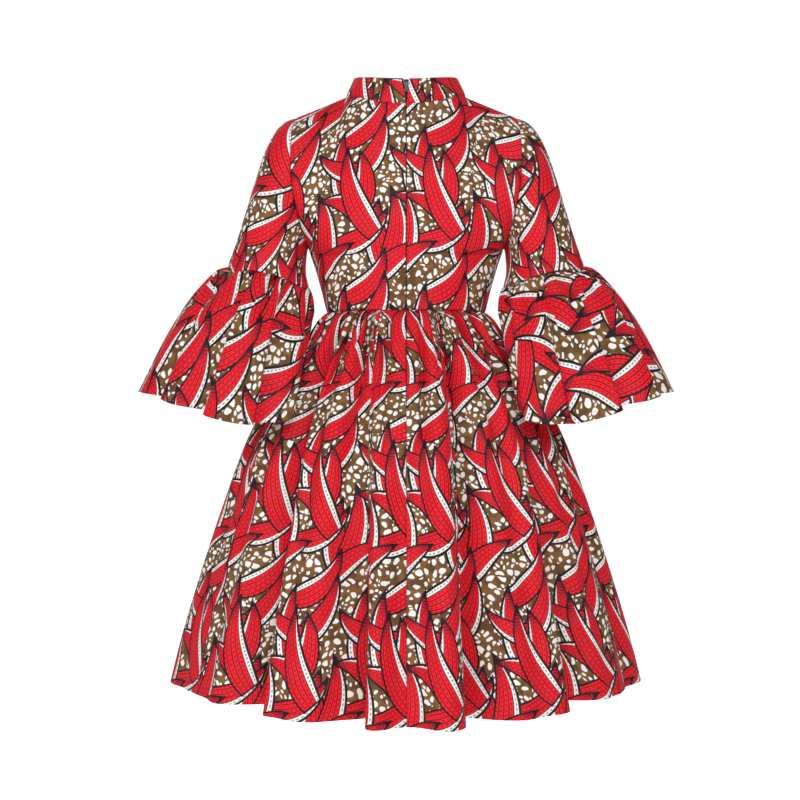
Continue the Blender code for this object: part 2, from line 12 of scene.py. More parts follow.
import bmesh
import bpy
import numpy as np
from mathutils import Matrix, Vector


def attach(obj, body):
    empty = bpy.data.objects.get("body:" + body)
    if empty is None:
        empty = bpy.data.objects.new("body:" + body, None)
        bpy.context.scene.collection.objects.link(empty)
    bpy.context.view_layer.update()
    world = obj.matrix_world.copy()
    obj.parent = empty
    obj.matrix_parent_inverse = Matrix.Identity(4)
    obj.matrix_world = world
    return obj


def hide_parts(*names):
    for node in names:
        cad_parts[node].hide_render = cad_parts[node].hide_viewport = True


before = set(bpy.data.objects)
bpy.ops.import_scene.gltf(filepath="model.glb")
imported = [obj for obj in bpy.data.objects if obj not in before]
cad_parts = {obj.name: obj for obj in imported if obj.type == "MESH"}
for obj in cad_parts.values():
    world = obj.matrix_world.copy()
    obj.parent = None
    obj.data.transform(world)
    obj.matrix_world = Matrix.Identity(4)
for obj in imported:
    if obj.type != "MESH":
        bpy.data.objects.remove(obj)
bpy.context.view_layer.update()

# ---- Driving sizes ----

CLOTH = 0.0011
COLLAR_CLOTH = 0.0023
ZIP_CLOTH = 0.0006
SEAM_ROLL = 0.0011  # how far a sewn edge turns in
SEAM_REACH = 0.0026  # how far from the seam the turn begins
NO_EDGE = 1.0  # a distance that is too far for any stitch

WAIST_HEIGHT = -0.362
UNDERARM_HEIGHT = -0.253
UNDERARM_HALF_WIDTH = 0.1655
NAPE_HEIGHT = -0.021
THROAT_HEIGHT = -0.045
NECK_POINT_HEIGHT = 0.005
TORSO_ROUNDNESS = 2.3  # exponent of the oval: 2 is an ellipse, more is squarer
NECK_COLUMNS, SHOULDER_COLUMNS = 5, 4  # of a bodice half, from its middle to the sleeve
SIDE_ROWS, ARMHOLE_ROWS = 4, 9  # of a bodice half, from the waist up

NECK_HALF_WIDTH = 0.101
NAPE_BEHIND = 0.079
THROAT_AHEAD = 0.064
COLLAR_HEIGHT = 0.0415
COLLAR_SIDE_LOSS = 0.0130  # the band is this much lower over the shoulders
COLLAR_TOP_WIDTH = 0.87  # top edge's width as a share of the base's
COLLAR_TOP_DEPTH = 0.965
SLEEVE_RADIUS = 0.070  # of the round arm that the print is laid on

BUST_OUT = 0.018
BUST_APART = 0.150
BUST_HEIGHT = -0.232
BUST_SPREAD = 0.055

SKIRT_HEM_BEHIND = 0.300
SKIRT_HEM_DIP = 0.027  # the hem hangs this much lower at the back and front than at the sides
SKIRT_GATHERS, WAIST_PUCKERS = 28, 77
WAIST_PUCKER_DEPTH = 0.0022
SKIRT_FLAT_AT_ZIP = 0.017  # cloth each side of the back seam that the zip holds flat
RUFFLE_GATHERS, RUFFLE_PUCKERS = 12, 37
RUFFLE_PUCKER_DEPTH = 0.0026
RUFFLE_OFF_SKIRT = 0.013
RUFFLE_INNER_RADIUS = 0.159  # a ruffle is cut as half a ring
RUFFLE_CUT_DEPTH = 0.205

ZIP_END_HEIGHT = -0.520
ZIP_GAP = 0.0007  # how far each side is drawn back from the middle
TAPE_WIDTH = 0.026
HEM_ALLOWANCE = 0.0130  # the hem's edge up to its row of stitches

FLOOR_HEIGHT = -1.55
LIGHTS_AIM = Vector((0.0, 0.0, -0.55))

# ---- Sections and folds: one row each ----


def rows_of(kind, *rows):
    return [kind(*row) for row in rows]


Torso = namedtuple("Torso", "height half_width back front")
TORSO = rows_of(
    Torso,
    (-0.362, 0.1340, 0.088, 0.096),
    (-0.323, 0.1437, 0.094, 0.106),
    (-0.289, 0.1535, 0.100, 0.116),
    (UNDERARM_HEIGHT, UNDERARM_HALF_WIDTH, 0.103, 0.119),
    (-0.180, 0.1800, 0.109, 0.112),
    (-0.110, 0.1900, 0.105, 0.094),
    (-0.060, 0.1900, 0.095, 0.074),
    (-0.021, 0.1900, 0.079, 0.060),
)

# A sleeve's sections, from the armhole to its hem. "outer" is the side away from the body.
Sleeve = namedtuple("Sleeve", "outer_x outer_z inner_x inner_z half_depth bow behind")
SLEEVE = rows_of(
    Sleeve,
    (0.187, -0.032, UNDERARM_HALF_WIDTH, UNDERARM_HEIGHT, 0.069, 0.014, 0.000),
    (0.205, -0.040, 0.1680, -0.2560, 0.070, 0.013, 0.001),
    (0.222, -0.058, 0.1695, -0.2665, 0.069, 0.010, 0.003),
    (0.240, -0.096, 0.1700, -0.2780, 0.066, 0.007, 0.008),
    (0.255, -0.143, 0.1700, -0.2885, 0.062, 0.004, 0.014),
    (0.270, -0.196, 0.1690, -0.2990, 0.058, 0.002, 0.021),
    (0.284, -0.243, 0.1665, -0.3090, 0.054, 0.000, 0.028),
    (0.298, -0.284, 0.1630, -0.3185, 0.052, 0.000, 0.035),
)

# A bell ruffle's sections, from its gathered seam to its hem. It hangs "drop" lower at its back.
Ruffle = namedtuple("Ruffle", "outer_x outer_z inner_x inner_z half_depth behind drop")
RUFFLE = rows_of(
    Ruffle,
    (*SLEEVE[-1][:5], SLEEVE[-1].behind, 0.000),
    (0.316, -0.2920, 0.158, -0.330, 0.061, 0.040, 0.001),
    (0.338, -0.3150, 0.154, -0.349, 0.069, 0.048, 0.005),
    (0.362, -0.3480, 0.151, -0.384, 0.080, 0.064, 0.014),
    (0.396, -0.4090, 0.150, -0.442, 0.094, 0.084, 0.026),
    (0.436, -0.4965, 0.152, -0.518, 0.108, 0.105, 0.038),
)

Skirt = namedtuple("Skirt", "height half_width gather")
SKIRT = rows_of(
    Skirt,
    (-0.362, 0.1345, 0.0022),
    (-0.372, 0.1475, 0.0080),
    (-0.390, 0.1610, 0.0130),
    (-0.425, 0.1850, 0.0145),
    (-0.480, 0.2190, 0.0120),
    (-0.561, 0.2630, 0.0085),
    (-0.680, 0.3090, 0.0055),
    (-0.800, 0.3490, 0.0045),
    (-0.910, 0.3820, 0.0040),
    (-0.977, 0.3990, 0.0035),
)

# The large folds. "angle" is in degrees from the middle of the back towards the wearer's right.
# A fold is "depth" deep at the hem and slides "lean" under one of its sides. One of negative
# depth stands out.
Fold = namedtuple("Fold", "angle half_width depth lean")
SKIRT_FOLDS = rows_of(
    Fold,
    (-163.0, 5.0, 0.055, 0.026),
    (-138.0, 5.2, 0.066, -0.030),
    (-112.0, 5.0, 0.055, 0.024),
    (-92.0, 6.0, 0.026, -0.010),
    (-62.0, 9.0, 0.013, 0.004),
    (-42.2, 4.7, 0.086, 0.042),
    (-15.5, 4.5, 0.062, 0.036),
    (-8.5, 5.0, -0.026, 0.000),
    (0.0, 5.0, 0.016, 0.000),
    (8.5, 5.5, -0.026, 0.000),
    (19.6, 4.5, 0.055, -0.033),
    (48.1, 4.7, 0.084, -0.041),
    (68.0, 9.0, 0.013, -0.004),
    (97.0, 6.0, 0.034, 0.012),
    (119.0, 5.0, 0.058, -0.026),
    (144.0, 5.0, 0.055, 0.026),
    (170.0, 5.2, 0.064, -0.030),
)
# Angles from the outer side of the arm round by the back of it.
RUFFLE_FOLDS = rows_of(
    Fold,
    (26.0, 8.0, 0.018, 0.012),
    (60.0, 6.5, 0.030, 0.030),
    (115.0, 7.5, 0.024, -0.020),
    (154.0, 8.0, 0.017, -0.010),
    (204.0, 9.0, 0.014, 0.004),
    (245.0, 8.0, 0.022, 0.020),
    (298.0, 7.0, 0.024, -0.026),
    (329.0, 8.0, 0.018, 0.012),
)

# How far the seam between a sleeve and its ruffle sags, as folds with no lean.
SEAM_WAVES = rows_of(
    Fold,
    (36.0, 22.0, 0.013, 0.0),
    (150.0, 22.0, 0.007, 0.0),
    (-46.0, 24.0, 0.006, 0.0),
    (-122.0, 28.0, 0.010, 0.0),
)

# Deep creases that start at the waist seam and die out down the skirt. "slip" is the width of
# cloth that a crease hides at the seam, so the print is cut there.
Tuck = namedtuple("Tuck", "angle end half_width depth slip")
SKIRT_TUCKS = rows_of(
    Tuck,
    (-171.0, -0.520, 0.9, 0.0095, 0.022),
    (-161.0, -0.405, 1.8, 0.0110, 0.008),
    (-150.5, -0.480, 0.8, 0.0080, 0.016),
    (-126.0, -0.560, 1.0, 0.0110, 0.026),
    (-113.0, -0.400, 1.7, 0.0100, 0.007),
    (-101.0, -0.500, 0.8, 0.0080, 0.018),
    (-79.0, -0.545, 1.0, 0.0100, 0.024),
    (-66.5, -0.470, 0.8, 0.0080, 0.014),
    (-53.0, -0.600, 1.0, 0.0110, 0.028),
    (-42.5, -0.410, 1.8, 0.0110, 0.008),
    (-33.0, -0.530, 0.9, 0.0100, 0.022),
    (-24.5, -0.460, 0.8, 0.0080, 0.014),
    (-19.5, -0.640, 0.9, 0.0100, 0.020),
    (-14.5, -0.412, 2.0, 0.0130, 0.009),
    (12.5, -0.500, 0.8, 0.0090, 0.016),
    (20.5, -0.408, 2.1, 0.0130, 0.009),
    (25.0, -0.455, 0.7, 0.0070, 0.010),
    (30.5, -0.585, 1.0, 0.0110, 0.026),
    (39.0, -0.465, 0.8, 0.0080, 0.015),
    (48.0, -0.405, 1.7, 0.0100, 0.007),
    (58.5, -0.540, 0.9, 0.0095, 0.020),
    (76.0, -0.480, 0.8, 0.0080, 0.016),
    (86.0, -0.590, 1.0, 0.0110, 0.026),
    (97.0, -0.402, 1.8, 0.0100, 0.007),
    (108.5, -0.510, 0.9, 0.0095, 0.020),
    (131.0, -0.560, 1.0, 0.0100, 0.024),
    (145.0, -0.408, 1.8, 0.0110, 0.008),
    (157.0, -0.490, 0.8, 0.0080, 0.018),
)

# The same on a ruffle, where "end" is a share of the way to its hem.
RUFFLE_TUCKS = rows_of(
    Tuck,
    (12.0, 0.42, 3.5, 0.0050, 0.011),
    (43.0, 0.30, 3.0, 0.0045, 0.009),
    (56.0, 0.55, 3.5, 0.0060, 0.013),
    (84.0, 0.36, 3.0, 0.0050, 0.011),
    (99.0, 0.60, 4.0, 0.0065, 0.015),
    (127.0, 0.34, 3.0, 0.0050, 0.010),
    (140.0, 0.50, 3.5, 0.0060, 0.013),
    (171.0, 0.38, 3.0, 0.0045, 0.010),
    (189.0, 0.46, 3.5, 0.0055, 0.012),
    (222.0, 0.58, 4.0, 0.0065, 0.015),
    (237.0, 0.32, 3.0, 0.0045, 0.009),
    (266.0, 0.48, 3.5, 0.0060, 0.013),
    (279.0, 0.34, 3.0, 0.0050, 0.010),
    (308.0, 0.56, 4.0, 0.0060, 0.014),
    (321.0, 0.36, 3.0, 0.0050, 0.010),
    (347.0, 0.44, 3.5, 0.0055, 0.012),
)

# Soft troughs, and ridges where "depth" is negative, by their middle on the flat cloth.
Crease = namedtuple("Crease", "across up heading length half_width depth")
BACK_CREASES = rows_of(
    Crease,
    (0.095, 0.035, 72.0, 0.100, 0.0070, 0.0016),
    (0.060, 0.020, 84.0, 0.070, 0.0060, 0.0012),
    (0.128, 0.060, 55.0, 0.090, 0.0080, 0.0018),
    (0.030, 0.012, 92.0, 0.050, 0.0050, 0.0010),
    (0.135, 0.105, 28.0, 0.080, 0.0080, 0.0016),
    (0.110, 0.140, 18.0, 0.090, 0.0090, -0.0012),
    (0.120, 0.225, -35.0, 0.085, 0.0090, 0.0014),
    (0.070, 0.275, -24.0, 0.090, 0.0090, -0.0010),
)
FRONT_CREASES = rows_of(
    Crease,
    (0.075, 0.040, 86.0, 0.095, 0.0070, 0.0018),
    (0.115, 0.070, 60.0, 0.085, 0.0075, 0.0018),
    (0.130, 0.120, 24.0, 0.075, 0.0080, 0.0016),
    (0.020, 0.020, 95.0, 0.060, 0.0060, 0.0010),
    (-0.050, 0.030, 98.0, 0.080, 0.0065, 0.0014),
    (-0.085, 0.050, 95.0, 0.100, 0.0070, 0.0018),
    (-0.128, 0.095, 140.0, 0.085, 0.0080, 0.0018),
    (-0.120, 0.210, 205.0, 0.080, 0.0090, 0.0014),
    (0.112, 0.220, -32.0, 0.085, 0.0090, 0.0014),
)
SLEEVE_CREASES = rows_of(
    Crease,
    (0.105, 0.070, 18.0, 0.110, 0.0080, 0.0026),
    (0.120, 0.100, -12.0, 0.090, 0.0080, 0.0022),
    (0.060, 0.045, 34.0, 0.080, 0.0070, 0.0018),
    (0.035, 0.014, 78.0, 0.046, 0.0040, 0.0024),
    (0.080, 0.012, 96.0, 0.040, 0.0038, 0.0024),
    (-0.010, 0.016, 86.0, 0.044, 0.0040, 0.0022),
    (0.085, 0.150, -30.0, 0.090, 0.0090, 0.0018),
    (-0.060, 0.110, 12.0, 0.090, 0.0080, 0.0018),
    (-0.085, 0.060, -20.0, 0.080, 0.0070, 0.0022),
    (-0.110, 0.095, 8.0, 0.100, 0.0080, 0.0024),
    (0.020, 0.190, -14.0, 0.080, 0.0100, -0.0014),
    (-0.050, 0.013, 92.0, 0.042, 0.0040, 0.0024),
)

# Where each piece was cut from the printed cloth: a shift across it and up it.
CUTS = {
    "bodice_back_right": (0.020, 0.062),
    "bodice_back_left": (0.036, 0.062),
    "bodice_front": (0.060, 0.100),
    "collar": (0.084, 0.215),
    "sleeve_right": (0.070, 0.030),
    "sleeve_left": (0.012, 0.030),
    "ruffle_right": (0.040, 0.010),
    "ruffle_left": (0.085, 0.120),
    "skirt_back_right": (0.010, 0.050),
    "skirt_back_left": (0.068, 0.050),
    "skirt_front": (0.030, 0.170),
}

# One repeat of the print, in metres. x runs across the cloth and y up it.
REPEAT_WIDTH = 0.121
REPEAT_HEIGHT = 0.262

# Leaves of one repeat, the lowest layer first. "heading" is the way from root to tip at the
# middle, in degrees from +x. A leaf bends left round its "bend" radius, or right if negative.
# Its white edge is on its left if "edge" is 1 and on its right if it is -1.
Leaf = namedtuple("Leaf", "x y heading length bend half_width edge")
LEAVES = rows_of(
    Leaf,
    (0.107, 0.190, 92, 0.115, -0.190, 0.0225, 1),
    (0.093, 0.186, 34, 0.118, 0.085, 0.0215, -1),
    (0.023, 0.196, 87, 0.148, 0.148, 0.0235, -1),
    (0.024, 0.150, 36, 0.112, -0.190, 0.0215, -1),
    (0.100, 0.112, 48, 0.120, 0.085, 0.0225, 1),
    (0.110, 0.068, 65, 0.124, 0.121, 0.0215, -1),
    (0.047, 0.036, 97, 0.148, -0.181, 0.0235, 1),
    (0.046, 0.035, 152, 0.111, -0.085, 0.0210, 1),
    (0.060, 0.238, 150, 0.108, 0.085, 0.0215, -1),
    (0.089, 0.017, 91, 0.105, 0.158, 0.0215, 1),
    (0.067, 0.259, 107, 0.168, -0.190, 0.0235, -1),
)

# ---- Reading the tables ----


def read(table, key, value, at):
    """A smooth line through one column of a table, against another column, read at some places."""
    x = np.array([getattr(row, key) for row in table], float)
    y = np.array([getattr(row, value) for row in table], float)
    if x[0] > x[-1]:
        x, y = x[::-1], y[::-1]
    return smooth_line(x, y, at)


def smooth_line(x, y, at):
    """Cubic through the points, with each point's slope taken from its neighbours."""
    slope = np.gradient(y, x)
    at = np.clip(np.asarray(at, float), x[0], x[-1])
    i = np.clip(np.searchsorted(x, at, side="right") - 1, 0, len(x) - 2)
    width = x[i + 1] - x[i]
    t = (at - x[i]) / width
    start = (1 + 2 * t) * (1 - t) ** 2 * y[i] + t * (1 - t) ** 2 * width * slope[i]
    end = t * t * (3 - 2 * t) * y[i + 1] + t * t * (t - 1) * width * slope[i + 1]
    return start + end


def by_row(table, value, at):
    """A column read by row number, so 1.5 is halfway from the second row to the third."""
    y = np.array([getattr(row, value) for row in table], float)
    return smooth_line(np.arange(len(y), dtype=float), y, at)


def section(table, row):
    """The middle of an arm's section and half its width from there, each as x and z."""
    outer, inner = (
        np.array([by_row(table, side + "_x", row), by_row(table, side + "_z", row)])
        for side in ("outer", "inner")
    )
    return (outer + inner) / 2, (outer - inner) / 2


def ease(t):
    t = np.clip(t, 0.0, 1.0)
    return t * t * (3 - 2 * t)


def steps(low, high, count, start=(), end=()):
    """Even steps from low to high, with extra ones at distances after low and before high."""
    extra = [*(low + d for d in start), *(high - d for d in end)]
    return np.unique(np.round([*np.linspace(low, high, count + 1), *extra], 7))


def bump(degrees, row):
    """1 at the angle of a fold or tuck, falling to 0 at its sides."""
    off = (degrees - row.angle + 180) % 360 - 180
    return np.exp(-((off / row.half_width) ** 2))


def folds(table, angle, grown):
    """How far each point moves in and sideways for the large folds, grown from 0 to 1."""
    inward, sideways = np.zeros_like(angle), np.zeros_like(angle)
    for fold in table:
        share = bump(np.degrees(angle), fold) * grown
        inward += fold.depth * share
        sideways += fold.lean * share
    return inward, sideways


def tucked(table, degrees, fade_of):
    """How far each point moves in for the tucks, each faded as it runs out."""
    return sum(tuck.depth * fade_of(tuck) * bump(degrees, tuck) for tuck in table)


def uneven(angle, count, sharp=1.0):
    """0 on the crest of a gather and 1 in its valley, with gathers of unequal width and depth."""
    shifted = angle + 0.030 * np.sin(3 * angle + 1.0) + 0.020 * np.sin(5 * angle + 2.2)
    depth = 0.80 + 0.20 * np.sin(4 * angle + 0.7) * np.cos(3 * angle)
    return depth * ((1 - np.cos(count * shifted)) / 2) ** sharp


def oval(angle, half_width, back, front, roundness):
    """x and y of a squared ellipse. Angle 0 is the back, 90 degrees the wearer's right."""
    power = 2 / roundness
    x = half_width * np.sign(np.sin(angle)) * np.abs(np.sin(angle)) ** power
    depth = np.where(np.cos(angle) > 0, -back, front)
    return x, depth * np.abs(np.cos(angle)) ** power


def mirrored(points):
    """The same piece on the other side of the body, its columns turned round to match."""
    return points[:, ::-1] * np.array([-1.0, 1.0, 1.0])


def mirrored_map(place):
    return place[:, ::-1] * np.array([-1.0, 1.0])


# ---- Forms of the pieces, as grids of points with rows from the lower edge up ----


def arm_section(row, angle):
    """Points of a sleeve section. Angle 0 is the outer side, 90 degrees the back, 180 the inner."""
    centre, half = section(SLEEVE, row)
    bow = by_row(SLEEVE, "bow", row) * np.sin(angle) ** 2
    x = centre[0] + half[0] * np.cos(angle) + bow
    z = centre[1] + half[1] * np.cos(angle)
    y = -by_row(SLEEVE, "behind", row) - by_row(SLEEVE, "half_depth", row) * np.sin(angle)
    return np.stack([x, y, z], axis=-1)


def neck_edge(is_back, angle):
    """The neckline from its middle, angle 0, to the shoulder at a quarter turn."""
    middle = NAPE_HEIGHT if is_back else THROAT_HEIGHT
    depth = -NAPE_BEHIND if is_back else THROAT_AHEAD
    x = NECK_HALF_WIDTH * np.sin(angle)
    z = middle + (NECK_POINT_HEIGHT - middle) * np.sin(angle) ** 2
    return np.stack([x, depth * np.cos(angle), z], axis=-1)


def bodice_half(is_back):
    """The wearer's right half of the back or front, columns from its middle to its side."""
    columns = NECK_COLUMNS + SHOULDER_COLUMNS
    across = steps(0, columns, 54, (0.03, 0.08), (0.02, 0.06))
    neck = neck_edge(is_back, np.minimum(across / NECK_COLUMNS, 1.0) * math.pi / 2)
    tip = arm_section(0, np.array(0.0))
    shoulder = np.clip((across - NECK_COLUMNS) / SHOULDER_COLUMNS, 0, 1)[:, None]
    top = neck + (tip - neck[across >= NECK_COLUMNS][0]) * shoulder
    u = across / columns
    first = TORSO[0]
    turn = u * math.pi / 2 if is_back else math.pi - u * math.pi / 2
    x, y = oval(turn, first.half_width, first.back, first.front, TORSO_ROUNDNESS)
    waist = np.stack([x, y, np.full(len(u), WAIST_HEIGHT)], axis=-1)
    middle_top = NAPE_HEIGHT if is_back else THROAT_HEIGHT
    depth_name, sign = ("back", -1) if is_back else ("front", 1)
    rows = []
    for up in steps(0, SIDE_ROWS + ARMHOLE_ROWS, 91, (0.03, 0.08, 0.16), (0.05,)):
        if up <= SIDE_ROWS:
            height = WAIST_HEIGHT + (UNDERARM_HEIGHT - WAIST_HEIGHT) * up / SIDE_ROWS
            side = np.array([float(read(TORSO, "height", "half_width", height)), 0.0, height])
        else:
            round_arm = math.pi * (up - SIDE_ROWS) / ARMHOLE_ROWS
            share = (1 - math.cos(round_arm)) / 2
            height = UNDERARM_HEIGHT + (middle_top - UNDERARM_HEIGHT) * share
            side = arm_section(0, np.array(math.pi + (-round_arm if is_back else round_arm)))
        rise = (height - WAIST_HEIGHT) / (middle_top - WAIST_HEIGHT)
        to_top = 1 - max(0.0, 1 - rise**3) ** 0.6
        depth = sign * float(read(TORSO, "height", depth_name, height))
        middle = np.array([0.0, depth + (top[0][1] - depth) * to_top, height])
        base = waist + (top - waist) * to_top
        from_middle = (1 - u)[:, None] * (middle - base[0])
        rows.append(base + from_middle + (u**1.6)[:, None] * (side - base[-1]))
    points = np.array(rows)
    if not is_back:
        off = ((points[..., 0] - BUST_APART / 2) ** 2) + (points[..., 2] - BUST_HEIGHT) ** 2
        points[..., 1] += BUST_OUT * np.exp(-off / BUST_SPREAD**2) * np.clip(1 - u**3, 0, 1)
    return points


def collar_band():
    """The standing band, columns from the zip round by the wearer's right."""
    quarter = steps(0, math.pi / 2, 30, (0.005, 0.015))
    half = np.concatenate([neck_edge(True, quarter), neck_edge(False, quarter)[::-1][1:]])
    neckline = np.concatenate([half, mirrored(half[None])[0][1:]])
    rise = COLLAR_HEIGHT - COLLAR_SIDE_LOSS * (np.abs(neckline[:, 0]) / NECK_HALF_WIDTH) ** 2
    top = neckline * np.array([COLLAR_TOP_WIDTH, COLLAR_TOP_DEPTH, 1.0])
    top[:, 2] += rise
    share = steps(0, 1, 12, (0.03, 0.06), (0.03,))[:, None, None]
    return neckline + (top - neckline) * share


def sleeve_tube():
    """The wearer's right sleeve, columns from its seam at the inner side round to it again."""
    last = len(SLEEVE) - 1
    rows = steps(0, last, 63, (0.03, 0.08), (0.03, 0.08, 0.16))[::-1]
    angles = np.linspace(math.pi, -math.pi, 145)
    points = np.array([arm_section(row, angles) for row in rows])
    near_end = ease((rows - (last - 2)) / 2)[:, None]
    points[..., 2] -= near_end * folds(SEAM_WAVES, angles, 1.0)[0]
    return points


def skirt_spread(half_width):
    """0 where the skirt is as wide as at the waist, 1 where it is as wide as at the hem."""
    return (half_width - SKIRT[0].half_width) / (SKIRT[-1].half_width - SKIRT[0].half_width)


def skirt_depth(at_waist, spread):
    return at_waist + (SKIRT_HEM_BEHIND - at_waist) * spread


def skirt_oval(angle, height):
    """x and y of the skirt's crests at a height, before its folds."""
    half_width = read(SKIRT, "height", "half_width", height)
    spread = skirt_spread(half_width)
    back, front = skirt_depth(TORSO[0].back, spread), skirt_depth(TORSO[0].front, spread)
    roundness = TORSO_ROUNDNESS + (2.0 - TORSO_ROUNDNESS) * ease(spread)
    return oval(angle, half_width, back, front, roundness)


def skirt_heights():
    share = steps(0, 1, 62, (0.002, 0.006), (0.004, 0.010))
    return WAIST_HEIGHT + (SKIRT[-1].height - WAIST_HEIGHT) * (share**1.25)[::-1]


def skirt_wall(angle):
    """Part of the skirt between two angles, columns in the order of the angles given."""
    signed = (angle + math.pi) % (2 * math.pi) - math.pi
    rows = []
    for height in skirt_heights():
        x, y = skirt_oval(angle, height)
        ahead, behind = skirt_oval(angle + 0.03, height), skirt_oval(angle - 0.03, height)
        along = np.stack([ahead[0] - behind[0], ahead[1] - behind[1], 0 * x], axis=-1)
        along /= np.linalg.norm(along, axis=1)[:, None]
        into = np.stack([-along[:, 1], along[:, 0], 0 * x], axis=-1)
        drop = WAIST_HEIGHT - height
        fall = drop / (WAIST_HEIGHT - SKIRT[-1].height)
        dip = SKIRT_HEM_DIP * np.cos(angle) ** 2 * ease(fall)
        from_zip = np.abs(x) + np.where(np.cos(angle) > 0, 0.0, 1.0)
        held = ease((from_zip - SKIRT_FLAT_AT_ZIP) / 0.012)
        free = held + (1 - held) * ease((ZIP_END_HEIGHT - 0.02 - height) / 0.06)

        def fade_of(tuck):
            left = (height - tuck.end) / (WAIST_HEIGHT - tuck.end)
            return ease(left) ** 0.7 * ease(drop / 0.008 + 0.3)

        inward, sideways = folds(SKIRT_FOLDS, signed, fall**0.85 * free)
        gather = 2 * read(SKIRT, "height", "gather", height) * uneven(signed, SKIRT_GATHERS, 1.9)
        pucker = WAIST_PUCKER_DEPTH * ease(drop / 0.006) * (1 - ease((drop - 0.012) / 0.060))
        pucker = pucker * uneven(signed * 1.02 + 0.3, WAIST_PUCKERS, 1.2)
        tuck = tucked(SKIRT_TUCKS, np.degrees(signed), fade_of)
        inward = inward + (gather + pucker + tuck) * free
        flat = np.stack([x, y, height - dip], axis=-1)
        rows.append(flat + into * inward[:, None] + along * sideways[:, None])
    return np.array(rows)


def clear_of_skirt(points):
    """Points pushed off the skirt's side, so that a ruffle lies just clear of it."""
    height = np.clip(points[..., 2], SKIRT[-1].height, WAIST_HEIGHT)
    half_width = read(SKIRT, "height", "half_width", height) + RUFFLE_OFF_SKIRT
    depth = skirt_depth(TORSO[0].back, skirt_spread(half_width)) + RUFFLE_OFF_SKIRT
    reach = np.sqrt((points[..., 0] / half_width) ** 2 + (points[..., 1] / depth) ** 2)
    soft = (reach**16 + 1) ** (1 / 16) / reach
    factor = 1 + (soft - 1) * ease((WAIST_HEIGHT + 0.02 - points[..., 2]) / 0.04)
    return points * np.stack([factor, factor, np.ones_like(factor)], axis=-1)


def ruffle_bell(turn):
    """The wearer's right ruffle, columns from its inner side round. "turn" shifts its folds."""
    angle = np.linspace(math.pi, -math.pi, 433)
    rows = []
    last = len(RUFFLE) - 1
    for row in steps(0, last, 44, (0.02, 0.06), (0.03, 0.10))[::-1]:
        centre, half = section(RUFFLE, row)
        width, depth = float(np.hypot(*half)), float(by_row(RUFFLE, "half_depth", row))
        share = row / last

        def fade_of(tuck):
            return ease((tuck.end - share) / tuck.end) * ease(share / 0.03 + 0.3)

        inward, sideways = folds(RUFFLE_FOLDS, angle - math.radians(turn), share**0.9)
        gather = 0.0016 + 0.0050 * math.sin(math.pi * min(1.0, share * 1.3 + 0.12))
        gather = 2 * gather * uneven(angle, RUFFLE_GATHERS, 1.4)
        pucker = RUFFLE_PUCKER_DEPTH * ease(share / 0.03) * (1 - ease((share - 0.06) / 0.22))
        pucker = pucker * uneven(angle + 0.4, RUFFLE_PUCKERS, 1.3)
        inward = inward + gather + pucker + tucked(RUFFLE_TUCKS, np.degrees(angle) - turn, fade_of)
        along = np.stack([-width * np.sin(angle), -depth * np.cos(angle)], axis=-1)
        along /= np.linalg.norm(along, axis=1)[:, None]
        into = np.stack([along[:, 1], -along[:, 0]], axis=-1)
        flat = np.stack([width * np.cos(angle), -depth * np.sin(angle)], axis=-1)
        flat = flat + into * inward[:, None] + along * sideways[:, None]
        inwards = (1 - np.cos(angle)) / 2
        lowest_at_back = (6.75 * inwards**2 * (1 - inwards)) ** 0.75
        x, z = (centre + flat[:, :1] * half / width).T
        z = z - float(by_row(RUFFLE, "drop", row)) * lowest_at_back
        z = z - folds(SEAM_WAVES, angle, float(1 - ease(row / 1.3)))[0]
        rows.append(np.stack([x, flat[:, 1] - float(by_row(RUFFLE, "behind", row)), z], axis=-1))
    return clear_of_skirt(np.array(rows))


# ---- Cloth on its form: lengths, normals, seams and creases ----


def lengths(points, axis):
    """How far each point is along its row (axis 1) or up its column (axis 0), from the first."""
    step = np.linalg.norm(np.diff(points, axis=axis), axis=-1)
    return np.insert(np.cumsum(step, axis=axis), 0, 0.0, axis=axis)


def outward(points, closed=False):
    """Unit normals of a grid whose rows run up and whose columns run anticlockwise from above."""
    normals = np.cross(np.gradient(points, axis=1), np.gradient(points, axis=0))
    if closed:
        normals[:, 0] = normals[:, -1] = normals[:, 0] + normals[:, -1]
    return normals / np.maximum(np.linalg.norm(normals, axis=-1), 1e-12)[..., None]


def from_edges(points, *names):
    """Each point's distance on the cloth from the nearest of the named edges, or of all four."""
    up, across = lengths(points, 0), lengths(points, 1)
    edges = {"bottom": up, "top": up[-1] - up, "first": across, "last": across[:, -1:] - across}
    return np.minimum.reduce([edges[name] for name in names or edges])


def creased(points, place, creases, closed=False):
    """The grid with its table of soft troughs and ridges pressed in."""
    depth = np.zeros(points.shape[:2])
    for crease in creases:
        heading = math.radians(crease.heading)
        off = place - np.array([crease.across, crease.up])
        along = off[..., 0] * math.cos(heading) + off[..., 1] * math.sin(heading)
        aside = off[..., 1] * math.cos(heading) - off[..., 0] * math.sin(heading)
        reach = np.clip(1 - (2 * along / crease.length) ** 2, 0, 1) ** 1.5
        depth += crease.depth * reach * np.exp(-((aside / crease.half_width) ** 2))
    return points - outward(points, closed) * depth[..., None]


def rolled(points, seam, closed=False):
    """The grid with its sewn edges turned in."""
    turn = SEAM_ROLL * np.exp(-((seam / SEAM_REACH) ** 2))
    return points - outward(points, closed) * turn[..., None]


def opened(points, edge, gap, reach=0.012):
    """The grid with its first or last column drawn back by a gap, given for each row."""
    inward = points if edge == "first" else points[:, ::-1]
    far = lengths(inward, 1)
    moved = far + np.asarray(gap)[:, None] * np.clip(1 - far / reach, 0, 1)
    drawn = np.array([along_line(row, old, new) for row, old, new in zip(inward, far, moved)])
    return drawn if edge == "first" else drawn[:, ::-1]


